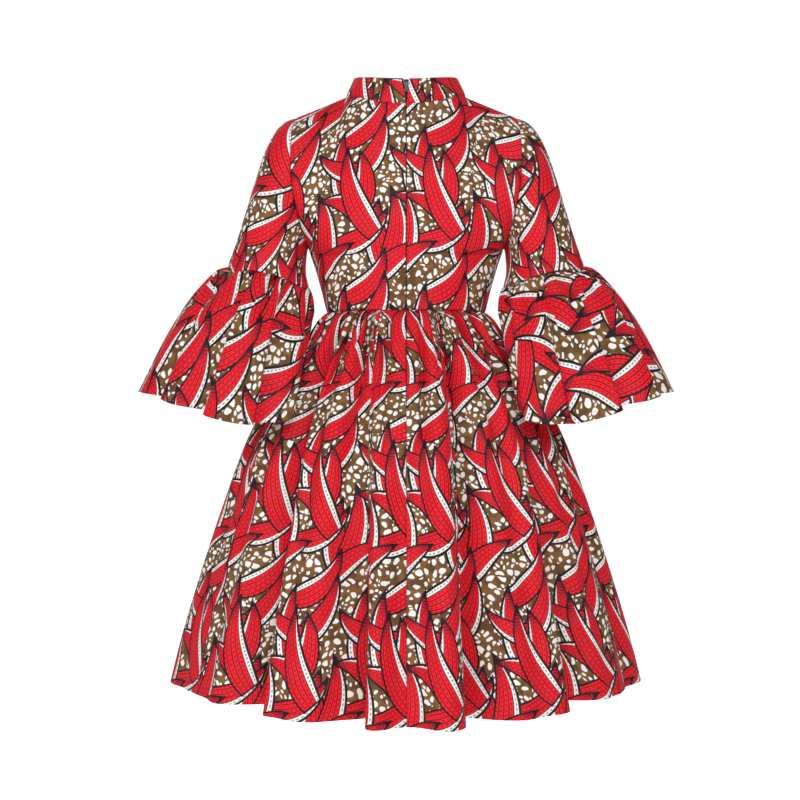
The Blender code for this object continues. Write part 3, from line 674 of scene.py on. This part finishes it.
def along_line(line, far, at):
    """Points of a line at some lengths along it, where "far" is the length at each of its own."""
    return np.stack([np.interp(at, far, line[:, k]) for k in range(3)], axis=-1)


def plain_map(points):
    """Cloth map of a piece cut nearly as it lies, measured from its first column and its foot."""
    return np.stack([lengths(points[..., :2], 1), lengths(points[..., 1:], 0)], axis=-1)


def sleeve_map(points):
    """Cloth map of a sleeve: round the arm, and up along it from the hem."""
    end, cap = points[0].mean(axis=0), points[-1].mean(axis=0)
    wide = section(SLEEVE, len(SLEEVE) - 1)[1]
    wide = np.array([wide[0], 0.0, wide[1]]) / np.linalg.norm(wide)
    up = np.array([-wide[2], 0.0, wide[0]])
    off = points - end
    rise = off @ up
    lean = (cap - end) / ((cap - end) @ up)
    around = off - rise[..., None] * lean
    angle = np.unwrap(np.arctan2(-around[..., 1], around @ wide), axis=1)
    angle = angle - angle.mean(axis=1, keepdims=True)
    return np.stack([-angle * SLEEVE_RADIUS, rise], axis=-1)


def cut_at_folds(degrees, large, tucks, fade_of):
    """For each column of faces, the crest it is printed from and the cloth its tucks hide.

    The print keeps its true width between the large folds, and the cloth that the gathers
    take up is lost in the bottoms of the folds and tucks.
    """
    count = len(degrees) - 1
    faces = np.arange(count)

    def column_of(at):
        return int(np.argmin(np.abs((degrees - at + 180) % 360 - 180)))

    inside = {column_of(fold.angle) for fold in large if fold.depth > 0.0}
    bounds = [0, *sorted(column for column in inside if 0 < column < count), count]
    crest = np.zeros(count, int)
    hidden = 0.0
    for low, high in zip(bounds, bounds[1:]):
        middle = (low + high) // 2
        crest[low:high] = middle
        for tuck in tucks:
            at = column_of(tuck.angle)
            if low < at < high:
                beyond = (faces >= at).astype(int) - int(middle >= at)
                beyond = np.where((faces >= low) & (faces < high), beyond, 0)
                hidden = hidden + tuck.slip * fade_of(tuck)[:, None] * beyond[None]
    return crest, hidden


def ruffle_map(points, turn, grain):
    """Cloth map of a ruffle cut as half a ring, whose inner edge is gathered into the seam.

    "grain" is how far the half ring was turned on the printed cloth, in degrees.
    """
    middle = lengths(points, 1)[: len(points) // 2].mean(axis=0)
    share = middle / middle[-1]
    from_top = lengths(points[::-1], 0)
    down = from_top[::-1].mean(axis=1) / from_top[-1].mean()
    radius = (RUFFLE_INNER_RADIUS + down * RUFFLE_CUT_DEPTH)[:, None]
    degrees = np.linspace(180, -180, points.shape[1]) - turn

    def fade_of(tuck):
        return ease((tuck.end - down) / tuck.end)

    across = lengths(points, 1)
    crest, hidden = cut_at_folds(degrees, RUFFLE_FOLDS, RUFFLE_TUCKS, fade_of)
    sides = []
    for side in (across[:, :-1], across[:, 1:]):
        angle = math.pi * (share[crest][None] - 0.5) + math.radians(grain)
        angle = angle + (side - across[:, crest] + hidden) / radius
        sides.append(np.stack([radius * np.sin(angle), -radius * np.cos(angle)], axis=-1))
    return tuple(sides)


def skirt_map(points, angle):
    """Cloth map of a skirt panel, for both sides of each column of faces."""
    across, height = lengths(points, 1), skirt_heights()

    def fade_of(tuck):
        return ease((height - tuck.end) / (WAIST_HEIGHT - tuck.end))

    crest, hidden = cut_at_folds(np.degrees(angle), SKIRT_FOLDS, SKIRT_TUCKS, fade_of)
    shift = across[0, crest][None] - across[:, crest] + hidden
    up = lengths(points, 0).mean(axis=1)
    up = np.broadcast_to((up - up[-1])[:, None], shift.shape)
    return tuple(np.stack([side + shift, up], axis=-1) for side in (across[:, :-1], across[:, 1:]))


# ---- Making the shells ----


def laid(mesh, points):
    """Lays a bmesh grid through the points, and gives each of its vertices' row and column."""
    rows, columns = points.shape[:2]
    bmesh.ops.create_grid(mesh, x_segments=columns - 1, y_segments=rows - 1, size=0.5)
    spot = {}
    for vert in mesh.verts:
        at = (vert.co.y + 0.5) * (rows - 1), (vert.co.x + 0.5) * (columns - 1)
        spot[vert] = round(at[0]), round(at[1])
        vert.co = points[spot[vert]]
    return spot


def new_object(name, data):
    made = bpy.data.objects.new(name, data)
    bpy.context.scene.collection.objects.link(made)
    return made


def hung(name, mesh, material, thickness):
    """A piece on the dress made of a bmesh and given a wall on both sides of it."""
    data = bpy.data.meshes.new(name)
    mesh.to_mesh(data)
    mesh.free()
    data.shade_smooth()
    data.materials.append(material)
    piece = new_object(name, data)
    wall = piece.modifiers.new("thickness", "SOLIDIFY")
    wall.thickness = thickness
    wall.offset = 0.0
    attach(piece, "dress")
    return piece


def shell(name, points, place, seam, hem=None, closed=False, thick=CLOTH):
    """A piece of cloth through a grid of points, with its cloth map and its edge distances."""
    left, right = place if isinstance(place, tuple) else (place[:, :-1], place[:, 1:])
    mesh = bmesh.new()
    cloth = mesh.loops.layers.uv.new("cloth")
    to_seam = mesh.verts.layers.float.new("seam")
    to_hem = mesh.verts.layers.float.new("hem")
    spot = laid(mesh, points)
    for vert, at in spot.items():
        vert[to_seam] = seam[at]
        vert[to_hem] = NO_EDGE if hem is None else hem[at]
    for face in mesh.faces:
        first = min(spot[loop.vert][1] for loop in face.loops)
        for loop in face.loops:
            row, column = spot[loop.vert]
            side = left if column == first else right
            loop[cloth].uv = side[row, first] + np.array(CUTS[name])
    if closed:
        bmesh.ops.remove_doubles(mesh, verts=mesh.verts, dist=0.000002)
    piece = hung("cloth_" + name, mesh, wax_print_cotton, thick)
    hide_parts(name)
    return piece


def both_sides(name, points, place):
    """Name, side, points and cloth map of a piece on the wearer's right and of its mirror image."""
    return (
        (name + "_right", 1, points, place),
        (name + "_left", -1, mirrored(points), mirrored_map(place)),
    )


def make_bodice():
    back = bodice_half(True)
    for name, side, points, place in both_sides("bodice_back", back, plain_map(back)):
        points = creased(points, place * np.array([side, 1.0]), BACK_CREASES)
        seam = from_edges(points)
        middle = "first" if side > 0 else "last"
        points = opened(rolled(points, seam), middle, np.full(len(back), ZIP_GAP))
        piece = shell(name, points, place, seam)
    half = bodice_half(False)
    points = np.concatenate([half[:, ::-1], mirrored(half)[:, ::-1][:, 1:]], axis=1)
    place = plain_map(points)
    place[..., 0] = place[..., 0] - place[:, len(half[0]) - 1, 0][:, None]
    points = creased(points, place, FRONT_CREASES)
    seam = from_edges(points)
    piece = shell("bodice_front", rolled(points, seam), place, seam)


def make_collar():
    points = collar_band()
    across, up = lengths(points, 1)[0], lengths(points, 0)
    place = np.stack([np.broadcast_to(across, up.shape), up], axis=-1)
    seam = from_edges(points, "bottom")
    points = rolled(points, seam)
    for edge in ("first", "last"):
        points = opened(points, edge, 0.0012 + 0.0034 * (up[:, 0] / up[-1, 0]), 0.030)
    piece = shell("collar", points, place, seam, thick=COLLAR_CLOTH)
    edge = piece.modifiers.new("soft edge", "BEVEL")
    edge.width = 0.0008
    edge.segments = 2
    edge.limit_method = "ANGLE"
    edge.angle_limit = math.radians(50)


def make_sleeves():
    tube = sleeve_tube()
    for name, side, points, place in both_sides("sleeve", tube, sleeve_map(tube)):
        points = creased(points, place * np.array([side, 1.0]), SLEEVE_CREASES, closed=True)
        seam = from_edges(points)
        points = rolled(points, from_edges(points, "bottom", "top"), closed=True)
        piece = shell(name, points, place, seam, closed=True)


def make_ruffles():
    for name, turn, grain in (("ruffle_right", 0.0, -63.0), ("ruffle_left", 9.0, 45.0)):
        points = ruffle_bell(turn)
        place = ruffle_map(points, turn, grain)
        if name == "ruffle_left":
            points, place = mirrored(points), tuple(mirrored_map(side) for side in place[::-1])
        seam = from_edges(points, "top", "first", "last")
        points = rolled(points, from_edges(points, "top"), closed=True)
        piece = shell(name, points, place, seam, from_edges(points, "bottom"), closed=True)


def make_skirt():
    quarter = math.pi / 2
    crowd = (0.0015, 0.005, 0.011)
    # Quarter turns where each panel starts and ends, its columns, and its cut's top and foot.
    panels = {
        "skirt_back_right": (0, 1, 210, 0.410, 0.755),
        "skirt_front": (1, 3, 420, 0.820, 1.430),
        "skirt_back_left": (3, 4, 210, 0.410, 0.755),
    }
    for name, (start, end, count, top, foot) in panels.items():
        angle = steps(start * quarter, end * quarter, count, crowd, crowd)
        points = skirt_wall(angle)
        place = skirt_map(points, angle)
        seam = from_edges(points, "top", "first", "last")
        points = rolled(points, seam)
        if name != "skirt_front":
            gap = np.where(skirt_heights() > ZIP_END_HEIGHT, ZIP_GAP, 0.0)
            points = opened(points, "first" if name.endswith("right") else "last", gap)
        piece = shell(name, points, place, seam, from_edges(points, "bottom"))


# ---- Zip ----

# Columns of the zip's tape and coil: the place across and how far inside the cloth.
TAPE_PROFILE = [
    (-0.5 * TAPE_WIDTH, 0.0030),
    (-0.3 * TAPE_WIDTH, 0.0026),
    (-0.0014, 0.0024),
    (0.0014, 0.0024),
    (0.3 * TAPE_WIDTH, 0.0026),
    (0.5 * TAPE_WIDTH, 0.0030),
]
COIL_PROFILE = [
    (-0.0022, 0.0032),
    (-0.0016, 0.0042),
    (0.0, 0.0047),
    (0.0016, 0.0042),
    (0.0022, 0.0032),
]


def zip_line():
    """Points down the middle of the back, on the cloth, from the collar's top to the zip's end."""
    collar = collar_band()[::-1, 0]
    back = bodice_half(True)[::-1, 0]
    skirt = skirt_wall(np.array([0.0, 0.01]))[::-1, 0]
    return np.concatenate([collar[2:], back, skirt[skirt[:, 2] > ZIP_END_HEIGHT - 0.010]])


def strip(name, profile, line, material, ribs=0.0):
    """A strip along the zip's line, inside the cloth. With ribs, every second row is larger."""
    points = [
        [(x * size, y + inside * size, z) for x, inside in profile]
        for (_, y, z), size in zip(line[::-1], 1 + ribs * np.cos(math.pi * np.arange(len(line))))
    ]
    mesh = bmesh.new()
    laid(mesh, np.array(points))
    piece = hung(name, mesh, material, ZIP_CLOTH)
    return piece


def make_zip():
    line = zip_line()
    down = lengths(line[None], 1)[0]

    def spaced(step):
        return along_line(line, down, np.arange(0.0, down[-1], step))

    tape = strip("zip_tape", TAPE_PROFILE, spaced(0.004), zip_tape)
    coil = strip("zip_coil", COIL_PROFILE, spaced(0.0007), zip_coil, ribs=0.10)
    for node in ("zip_slider", "zip_pull"):
        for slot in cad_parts[node].material_slots:
            slot.material = black_metal


# ---- Shader graphs ----


def both_ways(operation):
    """Operators that add a math node, for a value on the left and on the right of the sign."""
    return (
        lambda self, other: self.nodes.worked(operation, self, other),
        lambda self, other: self.nodes.worked(operation, other, self),
    )


class Value:
    """A number, vector or colour of a shader graph. Operators on it add the nodes for them."""

    __add__, __radd__ = both_ways("ADD")
    __sub__, __rsub__ = both_ways("SUBTRACT")
    __mul__, __rmul__ = both_ways("MULTIPLY")
    __truediv__, __rtruediv__ = both_ways("DIVIDE")
    __lt__ = both_ways("LESS_THAN")[0]
    __gt__ = both_ways("GREATER_THAN")[0]

    def __init__(self, nodes, socket):
        self.nodes, self.socket = nodes, socket

    def __abs__(self):
        return self.nodes.math("ABSOLUTE", self)


def is_vector(value):
    if isinstance(value, Value):
        return value.socket.type in ("VECTOR", "RGBA")
    return isinstance(value, tuple)


class Nodes:
    """Adds nodes to a tree and links them, so that a graph reads as formulas."""

    def __init__(self, tree):
        self.tree = tree

    def feed(self, socket, value):
        if isinstance(value, Value):
            self.tree.links.new(value.socket, socket)
        else:
            socket.default_value = value

    def add(self, kind, inputs=(), **settings):
        """A new node. Its inputs are given in order, or by their names or numbers."""
        node = self.tree.nodes.new(kind)
        for name, setting in settings.items():
            setattr(node, name, setting)
        for key, value in inputs.items() if isinstance(inputs, dict) else enumerate(inputs):
            self.feed(node.inputs[key], value)
        return node

    def output(self, kind, inputs=(), output=0, **settings):
        return Value(self, self.add(kind, inputs, **settings).outputs[output])

    def outputs(self, kind, inputs=(), **settings):
        node = self.add(kind, inputs, **settings)
        return {socket.name: Value(self, socket) for socket in node.outputs}

    def worked(self, operation, a, b):
        """A sum, product and so on of two numbers or two vectors, or a vector scaled."""
        if is_vector(a) and is_vector(b):
            return self.vector(operation, a, b)
        if is_vector(a):
            inputs = {"Vector": a, "Scale": b}
            return self.output("ShaderNodeVectorMath", inputs, operation="SCALE")
        return self.math(operation, a, b)

    def math(self, operation, *values):
        return self.output("ShaderNodeMath", values, operation=operation)

    def vector(self, operation, *values):
        output = "Value" if operation in ("LENGTH", "DOT_PRODUCT") else "Vector"
        return self.output("ShaderNodeVectorMath", values, output, operation=operation)

    def highest(self, *values):
        return reduce(lambda a, b: self.math("MAXIMUM", a, b), values)

    def mix(self, factor, a, b, kind="RGBA"):
        first, output = {"FLOAT": (2, 0), "VECTOR": (4, 1), "RGBA": (6, 2)}[kind]
        inputs = {0: factor, first: a, first + 1: b}
        return self.output("ShaderNodeMix", inputs, output, data_type=kind)

    def step(self, value, low, high):
        """0 below low and 1 above high, smooth between; falling if high is under low."""
        inputs = (value, low, high, 0.0, 1.0)
        return self.output("ShaderNodeMapRange", inputs, interpolation_type="SMOOTHSTEP")

    def parts(self, vector):
        return self.outputs("ShaderNodeSeparateXYZ", (vector,)).values()

    def joined(self, *values):
        return self.output("ShaderNodeCombineXYZ", values)

    def noise(self, point, scale, detail=1.0, output="Fac", dimensions="2D"):
        inputs = {"Vector": point, "Scale": scale, "Detail": detail}
        return self.output("ShaderNodeTexNoise", inputs, output, noise_dimensions=dimensions)

    def bumped(self, height, strength, distance, **under):
        """A normal tilted by a height, over another normal where one is given."""
        inputs = {"Strength": strength, "Distance": distance, "Height": height, **under}
        return self.output("ShaderNodeBump", inputs)

    def placed(self, tree, **values):
        """A shader group with its inputs fed by name; spaces in names are given as underscores."""
        inputs = {name.replace("_", " "): value for name, value in values.items()}
        return self.outputs("ShaderNodeGroup", inputs, node_tree=tree)


def group(name, inputs, outputs):
    """An empty shader group, its Nodes and its sockets, whose labels are listed by their kind."""
    tree = bpy.data.node_groups.new(name, "ShaderNodeTree")
    for direction, kinds in (("INPUT", inputs), ("OUTPUT", outputs)):
        for kind, labels in kinds.items():
            for label in labels.split(", "):
                tree.interface.new_socket(label, in_out=direction, socket_type="NodeSocket" + kind)
    nodes = Nodes(tree)
    return tree, nodes, nodes.outputs("NodeGroupInput"), nodes.add("NodeGroupOutput").inputs


BLACK_DYE = (0.010, 0.007, 0.010, 1)
RED_DYE = (0.800, 0.010, 0.022, 1)
DASH_DYE = (0.230, 0.003, 0.010, 1)
RIB_DYE = (0.070, 0.003, 0.008, 1)
TIP_DYE = (0.090, 0.004, 0.022, 1)
HATCH_DYE = (0.024, 0.003, 0.014, 1)
EDGE_DYE = (0.060, 0.008, 0.012, 1)
WHITE_CLOTH = (0.860, 0.825, 0.790, 1)
DOT_DYE = (0.20, 0.19, 0.20, 1)
BROWN_DYE = (0.205, 0.100, 0.030, 1)
DARK_BROWN_DYE = (0.110, 0.054, 0.018, 1)
RUBBED_DYE = (0.30, 0.10, 0.09, 1)
# Painted shade along the seams, and the colour of the darker stitches above the hems.
PAINTED_SEAM_SHADE_AND_STITCHES = (0.02, 0.010, 0.012, 1)

EDGE_START = 0.47  # across a leaf from -1 to 1, where its white edge begins
RIBS = 4  # from there to the leaf's other side
DASH_SPACING, HATCH_SPACING, DOT_SPACING = 0.0078, 0.0048, 0.0070
OUTLINE = (0.0033, 0.0025)  # how far in the black begins, and is full
EDGE_OUTLINE_MORE = 0.0009  # on the side of the white edge

# Pebbles: the size of a cell, then as shares of it the smallest radius and how much more it
# can be, and the share of the cells that hold a pebble.
LARGE_PEBBLES = (0.0160, 0.20, 0.15, 0.94)
SMALL_PEBBLES = (0.0086, 0.20, 0.13, 0.90)
PEBBLE_CLEARANCE = 0.24  # of a small pebble from a large one
THREAD, TAPE_THREAD, TAPE_RIB = 0.00042, 0.0005, 0.0009
STITCH_SPACING = 0.0030


def leaf_group():
    """Where a point lies on one curved leaf: across it, up it, and whether it is on it."""
    inputs = {"Vector": "Point, Middle, Bend Centre", "Float": "Turn, Edge, Length, Half Width"}
    tree, n, source, sink = group("leaf", inputs, {"Vector": "Place", "Float": "Mask"})
    half_cell = (REPEAT_WIDTH / 2, REPEAT_HEIGHT / 2, 1.0)
    from_middle = source["Point"] - source["Middle"]
    wrapped = n.vector("WRAP", from_middle, half_cell, tuple(-v for v in half_cell))
    from_centre = wrapped - source["Bend Centre"]
    radius = n.vector("LENGTH", source["Bend Centre"])
    reach = n.vector("LENGTH", from_centre)
    to_middle = n.vector("NORMALIZE", source["Bend Centre"] * -1.0)
    dot = n.vector("DOT_PRODUCT", from_centre, to_middle)
    _, _, side = n.parts(n.vector("CROSS_PRODUCT", to_middle, from_centre))
    along = n.math("ARCTAN2", side, dot) * radius * source["Turn"]
    share = along / source["Length"] + 0.5
    taper = 1.0 - n.math("POWER", n.highest(share, 0.0), 2.35)
    width = n.highest(taper * n.step(share, -0.60, 0.35) * source["Half Width"], 0.0001)
    across = (radius - reach) * source["Turn"] * source["Edge"] / width
    n.feed(sink["Place"], n.joined(across, share, width))
    n.feed(sink["Mask"], (abs(across) < 1.0) * (share > 0.0) * (share < 1.0))
    return tree


def beat_mask(n, along, spacing, low, high, shift=0.0):
    """1 on evenly spaced marks along a line and 0 between them."""
    beat = n.math("FRACT", along / spacing + shift)
    return n.step(abs(beat - 0.5), high, low)


def leaf_dye_group():
    """Red ribs with rows of dashes, a white edge, black outlines and a dark hatched tip."""
    inputs = {"Vector": "Place", "Float": "Length"}
    tree, n, source, sink = group("leaf dyes", inputs, {"Color": "Color"})
    across, share, width = n.parts(source["Place"])
    along = share * source["Length"]
    ribs = (EDGE_START - across) * (RIBS / (1 + EDGE_START))
    off_rib = abs(n.math("FRACT", ribs) - 0.5)
    stagger = n.math("FLOOR", ribs) * 0.37
    dash = n.step(off_rib, 0.19, 0.12) * beat_mask(n, along, DASH_SPACING, 0.15, 0.23, stagger)
    red = n.mix(dash * 0.92, RED_DYE, DASH_DYE)
    red = n.mix(n.step(off_rib, 0.375, 0.425) * 0.92, red, RIB_DYE)
    near_tip = n.step(share, 0.66, 0.90)
    red = n.mix(near_tip * n.step(across, 0.25, -0.55) * 0.72, red, TIP_DYE)
    hatch = beat_mask(n, along, HATCH_SPACING, 0.16, 0.28) * near_tip
    red = n.mix(hatch * 0.85, red, HATCH_DYE)
    off_band = abs(across - 0.68)
    dots = n.step(off_band, 0.060, 0.035) * beat_mask(n, along, DOT_SPACING, 0.20, 0.28)
    white = n.mix(dots, WHITE_CLOTH, DOT_DYE)
    colour = n.mix(n.step(across, EDGE_START - 0.01, EDGE_START + 0.01), red, white)
    colour = n.mix(n.math("COMPARE", across, EDGE_START, 0.030), colour, EDGE_DYE)
    to_side = (1.0 - abs(across)) * width - (across > 0.0) * EDGE_OUTLINE_MORE
    outline, root = n.step(to_side, *OUTLINE), n.step(along, *OUTLINE)
    dark = n.highest(outline, root, n.step(share, 0.872, 0.892))
    n.feed(sink["Color"], n.mix(dark, colour, BLACK_DYE))
    return tree


def pebble_group():
    """Rounded white pebbles of several sizes on a mottled brown ground."""
    tree, n, source, sink = group("pebbles", {"Vector": "Point"}, {"Color": "Color"})
    bent = source["Point"]
    for scale, reach in ((30.0, 0.010), (110.0, 0.0034)):
        drift = n.noise(source["Point"], scale, 0.0, "Color")
        bent = bent + (drift - (0.5, 0.5, 0.5)) * reach

    def cells(point, cell, feature):
        inputs = {"Vector": point, "Scale": 1 / cell, "Randomness": 0.85}
        settings = {"voronoi_dimensions": "2D", "feature": feature}
        return n.outputs("ShaderNodeTexVoronoi", inputs, **settings)

    def pebbles(point, cell, smallest, growth, kept):
        """A mask of pebbles, how far a place is past the nearest one, and that one's middle."""
        near = cells(point, cell, "F1")
        edge = cells(point, cell, "DISTANCE_TO_EDGE")["Distance"]
        chance = n.outputs("ShaderNodeSeparateColor", (near["Color"],))
        size = n.math("MULTIPLY_ADD", chance["Red"], growth, smallest)
        inputs = {"Vector": point - near["Position"], "Angle": chance["Blue"] * math.tau}
        turned = n.output("ShaderNodeVectorRotate", inputs, rotation_type="Z_AXIS")
        longer = turned * (0.84 / cell, 1.22 / cell, 0.0)
        past = n.highest(n.vector("LENGTH", longer) - size, 0.130 - edge)
        past = past + (chance["Green"] > kept)
        return n.step(past, 0.030, 0.0), past, near["Position"]

    shift = (0.031, 0.017, 0.0)
    large, _, _ = pebbles(bent, *LARGE_PEBBLES)
    small, _, middle = pebbles(bent + shift, *SMALL_PEBBLES)
    _, clear, _ = pebbles(middle - shift, *LARGE_PEBBLES)
    pebble = n.highest(large, small * (clear > PEBBLE_CLEARANCE))
    tone = n.step(n.noise(source["Point"], 55.0, 2.0), 0.35, 0.65)
    n.feed(sink["Color"], n.mix(pebble, n.mix(tone, DARK_BROWN_DYE, BROWN_DYE), WHITE_CLOTH))
    return tree


def print_group():
    """The whole print: leaves laid over a pebbled ground, from a place on the cloth in metres."""
    tree, n, source, sink = group("wax print", {"Vector": "Point"}, {"Color": "Color"})
    leaf_tree = leaf_group()
    place, on, length = (0.0, 0.0, 0.0), 0.0, 0.1
    for leaf in LEAVES:
        heading = math.radians(leaf.heading)
        left = Vector((-math.sin(heading), math.cos(heading), 0))
        made = n.placed(
            leaf_tree,
            Point=source["Point"],
            Middle=(leaf.x, leaf.y, 0),
            Bend_Centre=left * leaf.bend,
            Turn=math.copysign(1.0, leaf.bend),
            Edge=float(leaf.edge),
            Length=leaf.length,
            Half_Width=leaf.half_width,
        )
        place = n.mix(made["Mask"], place, made["Place"], "VECTOR")
        length = n.mix(made["Mask"], length, leaf.length, "FLOAT")
        on = n.highest(on, made["Mask"])
    dyes = n.placed(leaf_dye_group(), Place=place, Length=length)
    pebbles = n.placed(pebble_group(), Point=source["Point"])
    n.feed(sink["Color"], n.mix(on, pebbles["Color"], dyes["Color"]))
    return tree


def weave_group():
    """Height of a plain weave, 1 on a thread's crown, from a place on the cloth in metres."""
    inputs = {"Vector": "Point", "Float": "Thread"}
    tree, n, source, sink = group("plain weave", inputs, {"Float": "Height"})
    x, y, _ = n.parts(source["Point"] * (math.pi / source["Thread"]))
    warp = n.math("SINE", x) * n.math("COSINE", y)
    weft = n.math("COSINE", x) * n.math("SINE", y)
    n.feed(sink["Height"], n.highest(abs(warp), abs(weft)))
    return tree


def sewing_group():
    """Painted shade in a thin line along a seam, the pucker by it, and the row of darker stitches
    above a hem.
    """
    inputs = {"Vector": "Point", "Float": "To Seam, To Hem"}
    tree, n, source, sink = group("sewing", inputs, {"Float": "Shade, Height"})
    across, up, _ = n.parts(source["Point"])
    # A thin line of painted shade along each seam, where the cloth turns in.
    joint = n.step(source["To Seam"], 0.0012, 0.0002)
    off_row = abs(source["To Hem"] - HEM_ALLOWANCE)
    row = n.step(off_row, 0.0007, 0.0003)
    stitch = row * beat_mask(n, across, STITCH_SPACING, 0.30, 0.38)
    pucker = n.noise(n.joined(across, up * 0.25, 0.0), 190.0, 1.0)
    near_seam, near_hem = n.step(source["To Seam"], 0.022, 0.001), n.step(off_row, 0.010, 0.0)
    pull = pucker * n.highest(near_seam, near_hem * 0.5)
    # Shade is painted seam shade, together with the darker stitches above the hems.
    n.feed(sink["Shade"], n.highest(joint * 0.40, stitch * 0.35))
    n.feed(sink["Height"], pull - row * 0.25 - joint * 0.5)
    return tree


def new_material(name, roughness, sheen=0.0, metallic=0.0, specular=0.5):
    """A material with its Nodes and its shader's inputs."""
    mat = bpy.data.materials.new(name)
    mat.use_nodes = True
    inputs = mat.node_tree.nodes["Principled BSDF"].inputs
    inputs["Roughness"].default_value = roughness
    inputs["Metallic"].default_value = metallic
    inputs["Sheen Weight"].default_value = sheen
    inputs["Specular IOR Level"].default_value = specular
    return mat, Nodes(mat.node_tree), inputs


def make_print_cotton():
    """Waxed cotton: the print, a plain weave, fine wrinkles and the sewing."""
    mat, n, shader = new_material("wax print cotton", 0.62, sheen=0.02, specular=0.16)
    point = n.output("ShaderNodeUVMap", uv_map="cloth")
    to_seam = n.output("ShaderNodeAttribute", output="Fac", attribute_name="seam")
    to_hem = n.output("ShaderNodeAttribute", output="Fac", attribute_name="hem")
    dyes = n.placed(print_group(), Point=point)["Color"]
    sewing = n.placed(sewing_group(), Point=point, To_Seam=to_seam, To_Hem=to_hem)
    dyes = n.mix(n.step(n.noise(point, 26.0, 3.0), 0.30, 0.75) * 0.06, dyes, RUBBED_DYE)
    # Painted shade along the seams and the darker stitches, mixed over the print.
    n.feed(shader["Base Color"], n.mix(sewing["Shade"], dyes, PAINTED_SEAM_SHADE_AND_STITCHES))
    weave = n.placed(weave_group(), Point=point, Thread=THREAD)["Height"]
    n.feed(shader["Roughness"], n.mix(weave, 0.76, 0.58, "FLOAT"))
    normal = n.bumped(n.noise(point * (1.0, 0.45, 1.0), 30.0, 2.0), 0.35, 0.0040)
    normal = n.bumped(sewing["Height"], 0.55, 0.0012, Normal=normal)
    n.feed(shader["Normal"], n.bumped(weave, 0.25, 0.00012, Normal=normal))
    return mat


def make_zip_tape():
    mat, n, shader = new_material("black zip tape", 0.85)
    point = n.output("ShaderNodeTexCoord", output="Object")
    flat = point * (1.0, 0.0, 1.0)
    weave = n.placed(bpy.data.node_groups["plain weave"], Point=flat, Thread=TAPE_THREAD)
    _, _, z = n.parts(point)
    ribs = n.math("SINE", z * (2 * math.pi / TAPE_RIB))
    dark, light = (0.006, 0.006, 0.007, 1), (0.018, 0.017, 0.019, 1)
    # Painted light and shade on the weave: a painted highlight on the threads' crowns, painted
    # shade in the gaps between them.
    n.feed(shader["Base Color"], n.mix(weave["Height"], dark, light))
    n.feed(shader["Normal"], n.bumped(ribs, 0.4, 0.0001))
    return mat


def make_zip_coil():
    mat, n, shader = new_material("black zip coil", 0.38)
    point = n.output("ShaderNodeTexCoord", output="Object")
    tone = n.noise(point, 900.0, 1.0, dimensions="3D")
    dark, light = (0.008, 0.008, 0.009, 1), (0.022, 0.021, 0.023, 1)
    n.feed(shader["Base Color"], n.mix(tone, dark, light))
    return mat


def make_black_metal():
    """Black lacquer over metal, rubbed a little thin in scattered patches."""
    mat, n, shader = new_material("black lacquered metal", 0.32, metallic=0.65)
    point = n.output("ShaderNodeTexCoord", output="Object")
    rub = n.step(n.noise(point, 1300.0, 3.0, dimensions="3D"), 0.56, 0.70)
    lacquer, bare = (0.012, 0.012, 0.013, 1), (0.09, 0.085, 0.08, 1)
    n.feed(shader["Base Color"], n.mix(rub * 0.4, lacquer, bare))
    n.feed(shader["Roughness"], n.mix(rub, 0.28, 0.45, "FLOAT"))
    grain = n.noise(point, 2400.0, 2.0, dimensions="3D")
    n.feed(shader["Normal"], n.bumped(grain, 0.15, 0.0001))
    return mat


# ---- Studio ----


def make_camera():
    data = bpy.data.cameras.new("camera")
    data.lens = 67.5
    data.sensor_width = 36.0
    camera = new_object("camera", data)
    camera.location = (-0.0102, -2.55, -0.51)
    camera.rotation_euler = (math.pi / 2, 0, 0)
    bpy.context.scene.camera = camera


def soft_light(name, place, size, watts):
    """A square lamp turned towards the middle of the dress."""
    data = bpy.data.lights.new(name, "AREA")
    data.shape = "RECTANGLE"
    data.size = data.size_y = size
    data.energy = watts
    light = new_object(name, data)
    light.location = place
    light.rotation_euler = (LIGHTS_AIM - Vector(place)).to_track_quat("-Z", "Y").to_euler()


def by_camera_ray(n, seen, otherwise):
    """A strength for what the camera sees, and another for the light on the dress."""
    ray = n.output("ShaderNodeLightPath", output="Is Camera Ray")
    return n.mix(ray, otherwise, seen, "FLOAT")


def make_studio():
    mesh = bmesh.new()
    bmesh.ops.create_circle(mesh, cap_ends=True, segments=96, radius=14.0)
    bmesh.ops.translate(mesh, verts=mesh.verts, vec=(0, 0, FLOOR_HEIGHT))
    data = bpy.data.meshes.new("studio_floor")
    mesh.to_mesh(data)
    mesh.free()
    mat, n, shader = new_material("pale studio floor", 0.9)
    shader["Base Color"].default_value = (0.92, 0.92, 0.92, 1)
    shader["Emission Color"].default_value = (1, 1, 1, 1)
    n.feed(shader["Emission Strength"], by_camera_ray(n, 0.85, 0.30))
    under = n.output("ShaderNodeNewGeometry", output="Backfacing")
    n.feed(shader["Alpha"], 1.0 - under)
    data.materials.append(mat)
    new_object("studio_floor", data)
    soft_light("key", (0.3, -3.1, 0.9), 1.4, 66.0)
    soft_light("fill", (-2.1, -2.2, -0.1), 1.8, 20.0)
    soft_light("back", (-0.8, 2.8, 0.8), 2.2, 40.0)
    world = bpy.data.worlds.new("studio_air")
    world.use_nodes = True
    air = world.node_tree.nodes["Background"].inputs
    n = Nodes(world.node_tree)
    n.feed(air["Strength"], by_camera_ray(n, 1.05, 0.30))
    air["Color"].default_value = (1, 1, 1, 1)
    bpy.context.scene.world = world
    bpy.context.scene.view_settings.view_transform = "Standard"


make_camera()
wax_print_cotton = make_print_cotton()
zip_tape = make_zip_tape()
zip_coil = make_zip_coil()
black_metal = make_black_metal()
make_bodice()
make_collar()
make_sleeves()
make_ruffles()
make_skirt()
make_zip()
make_studio()
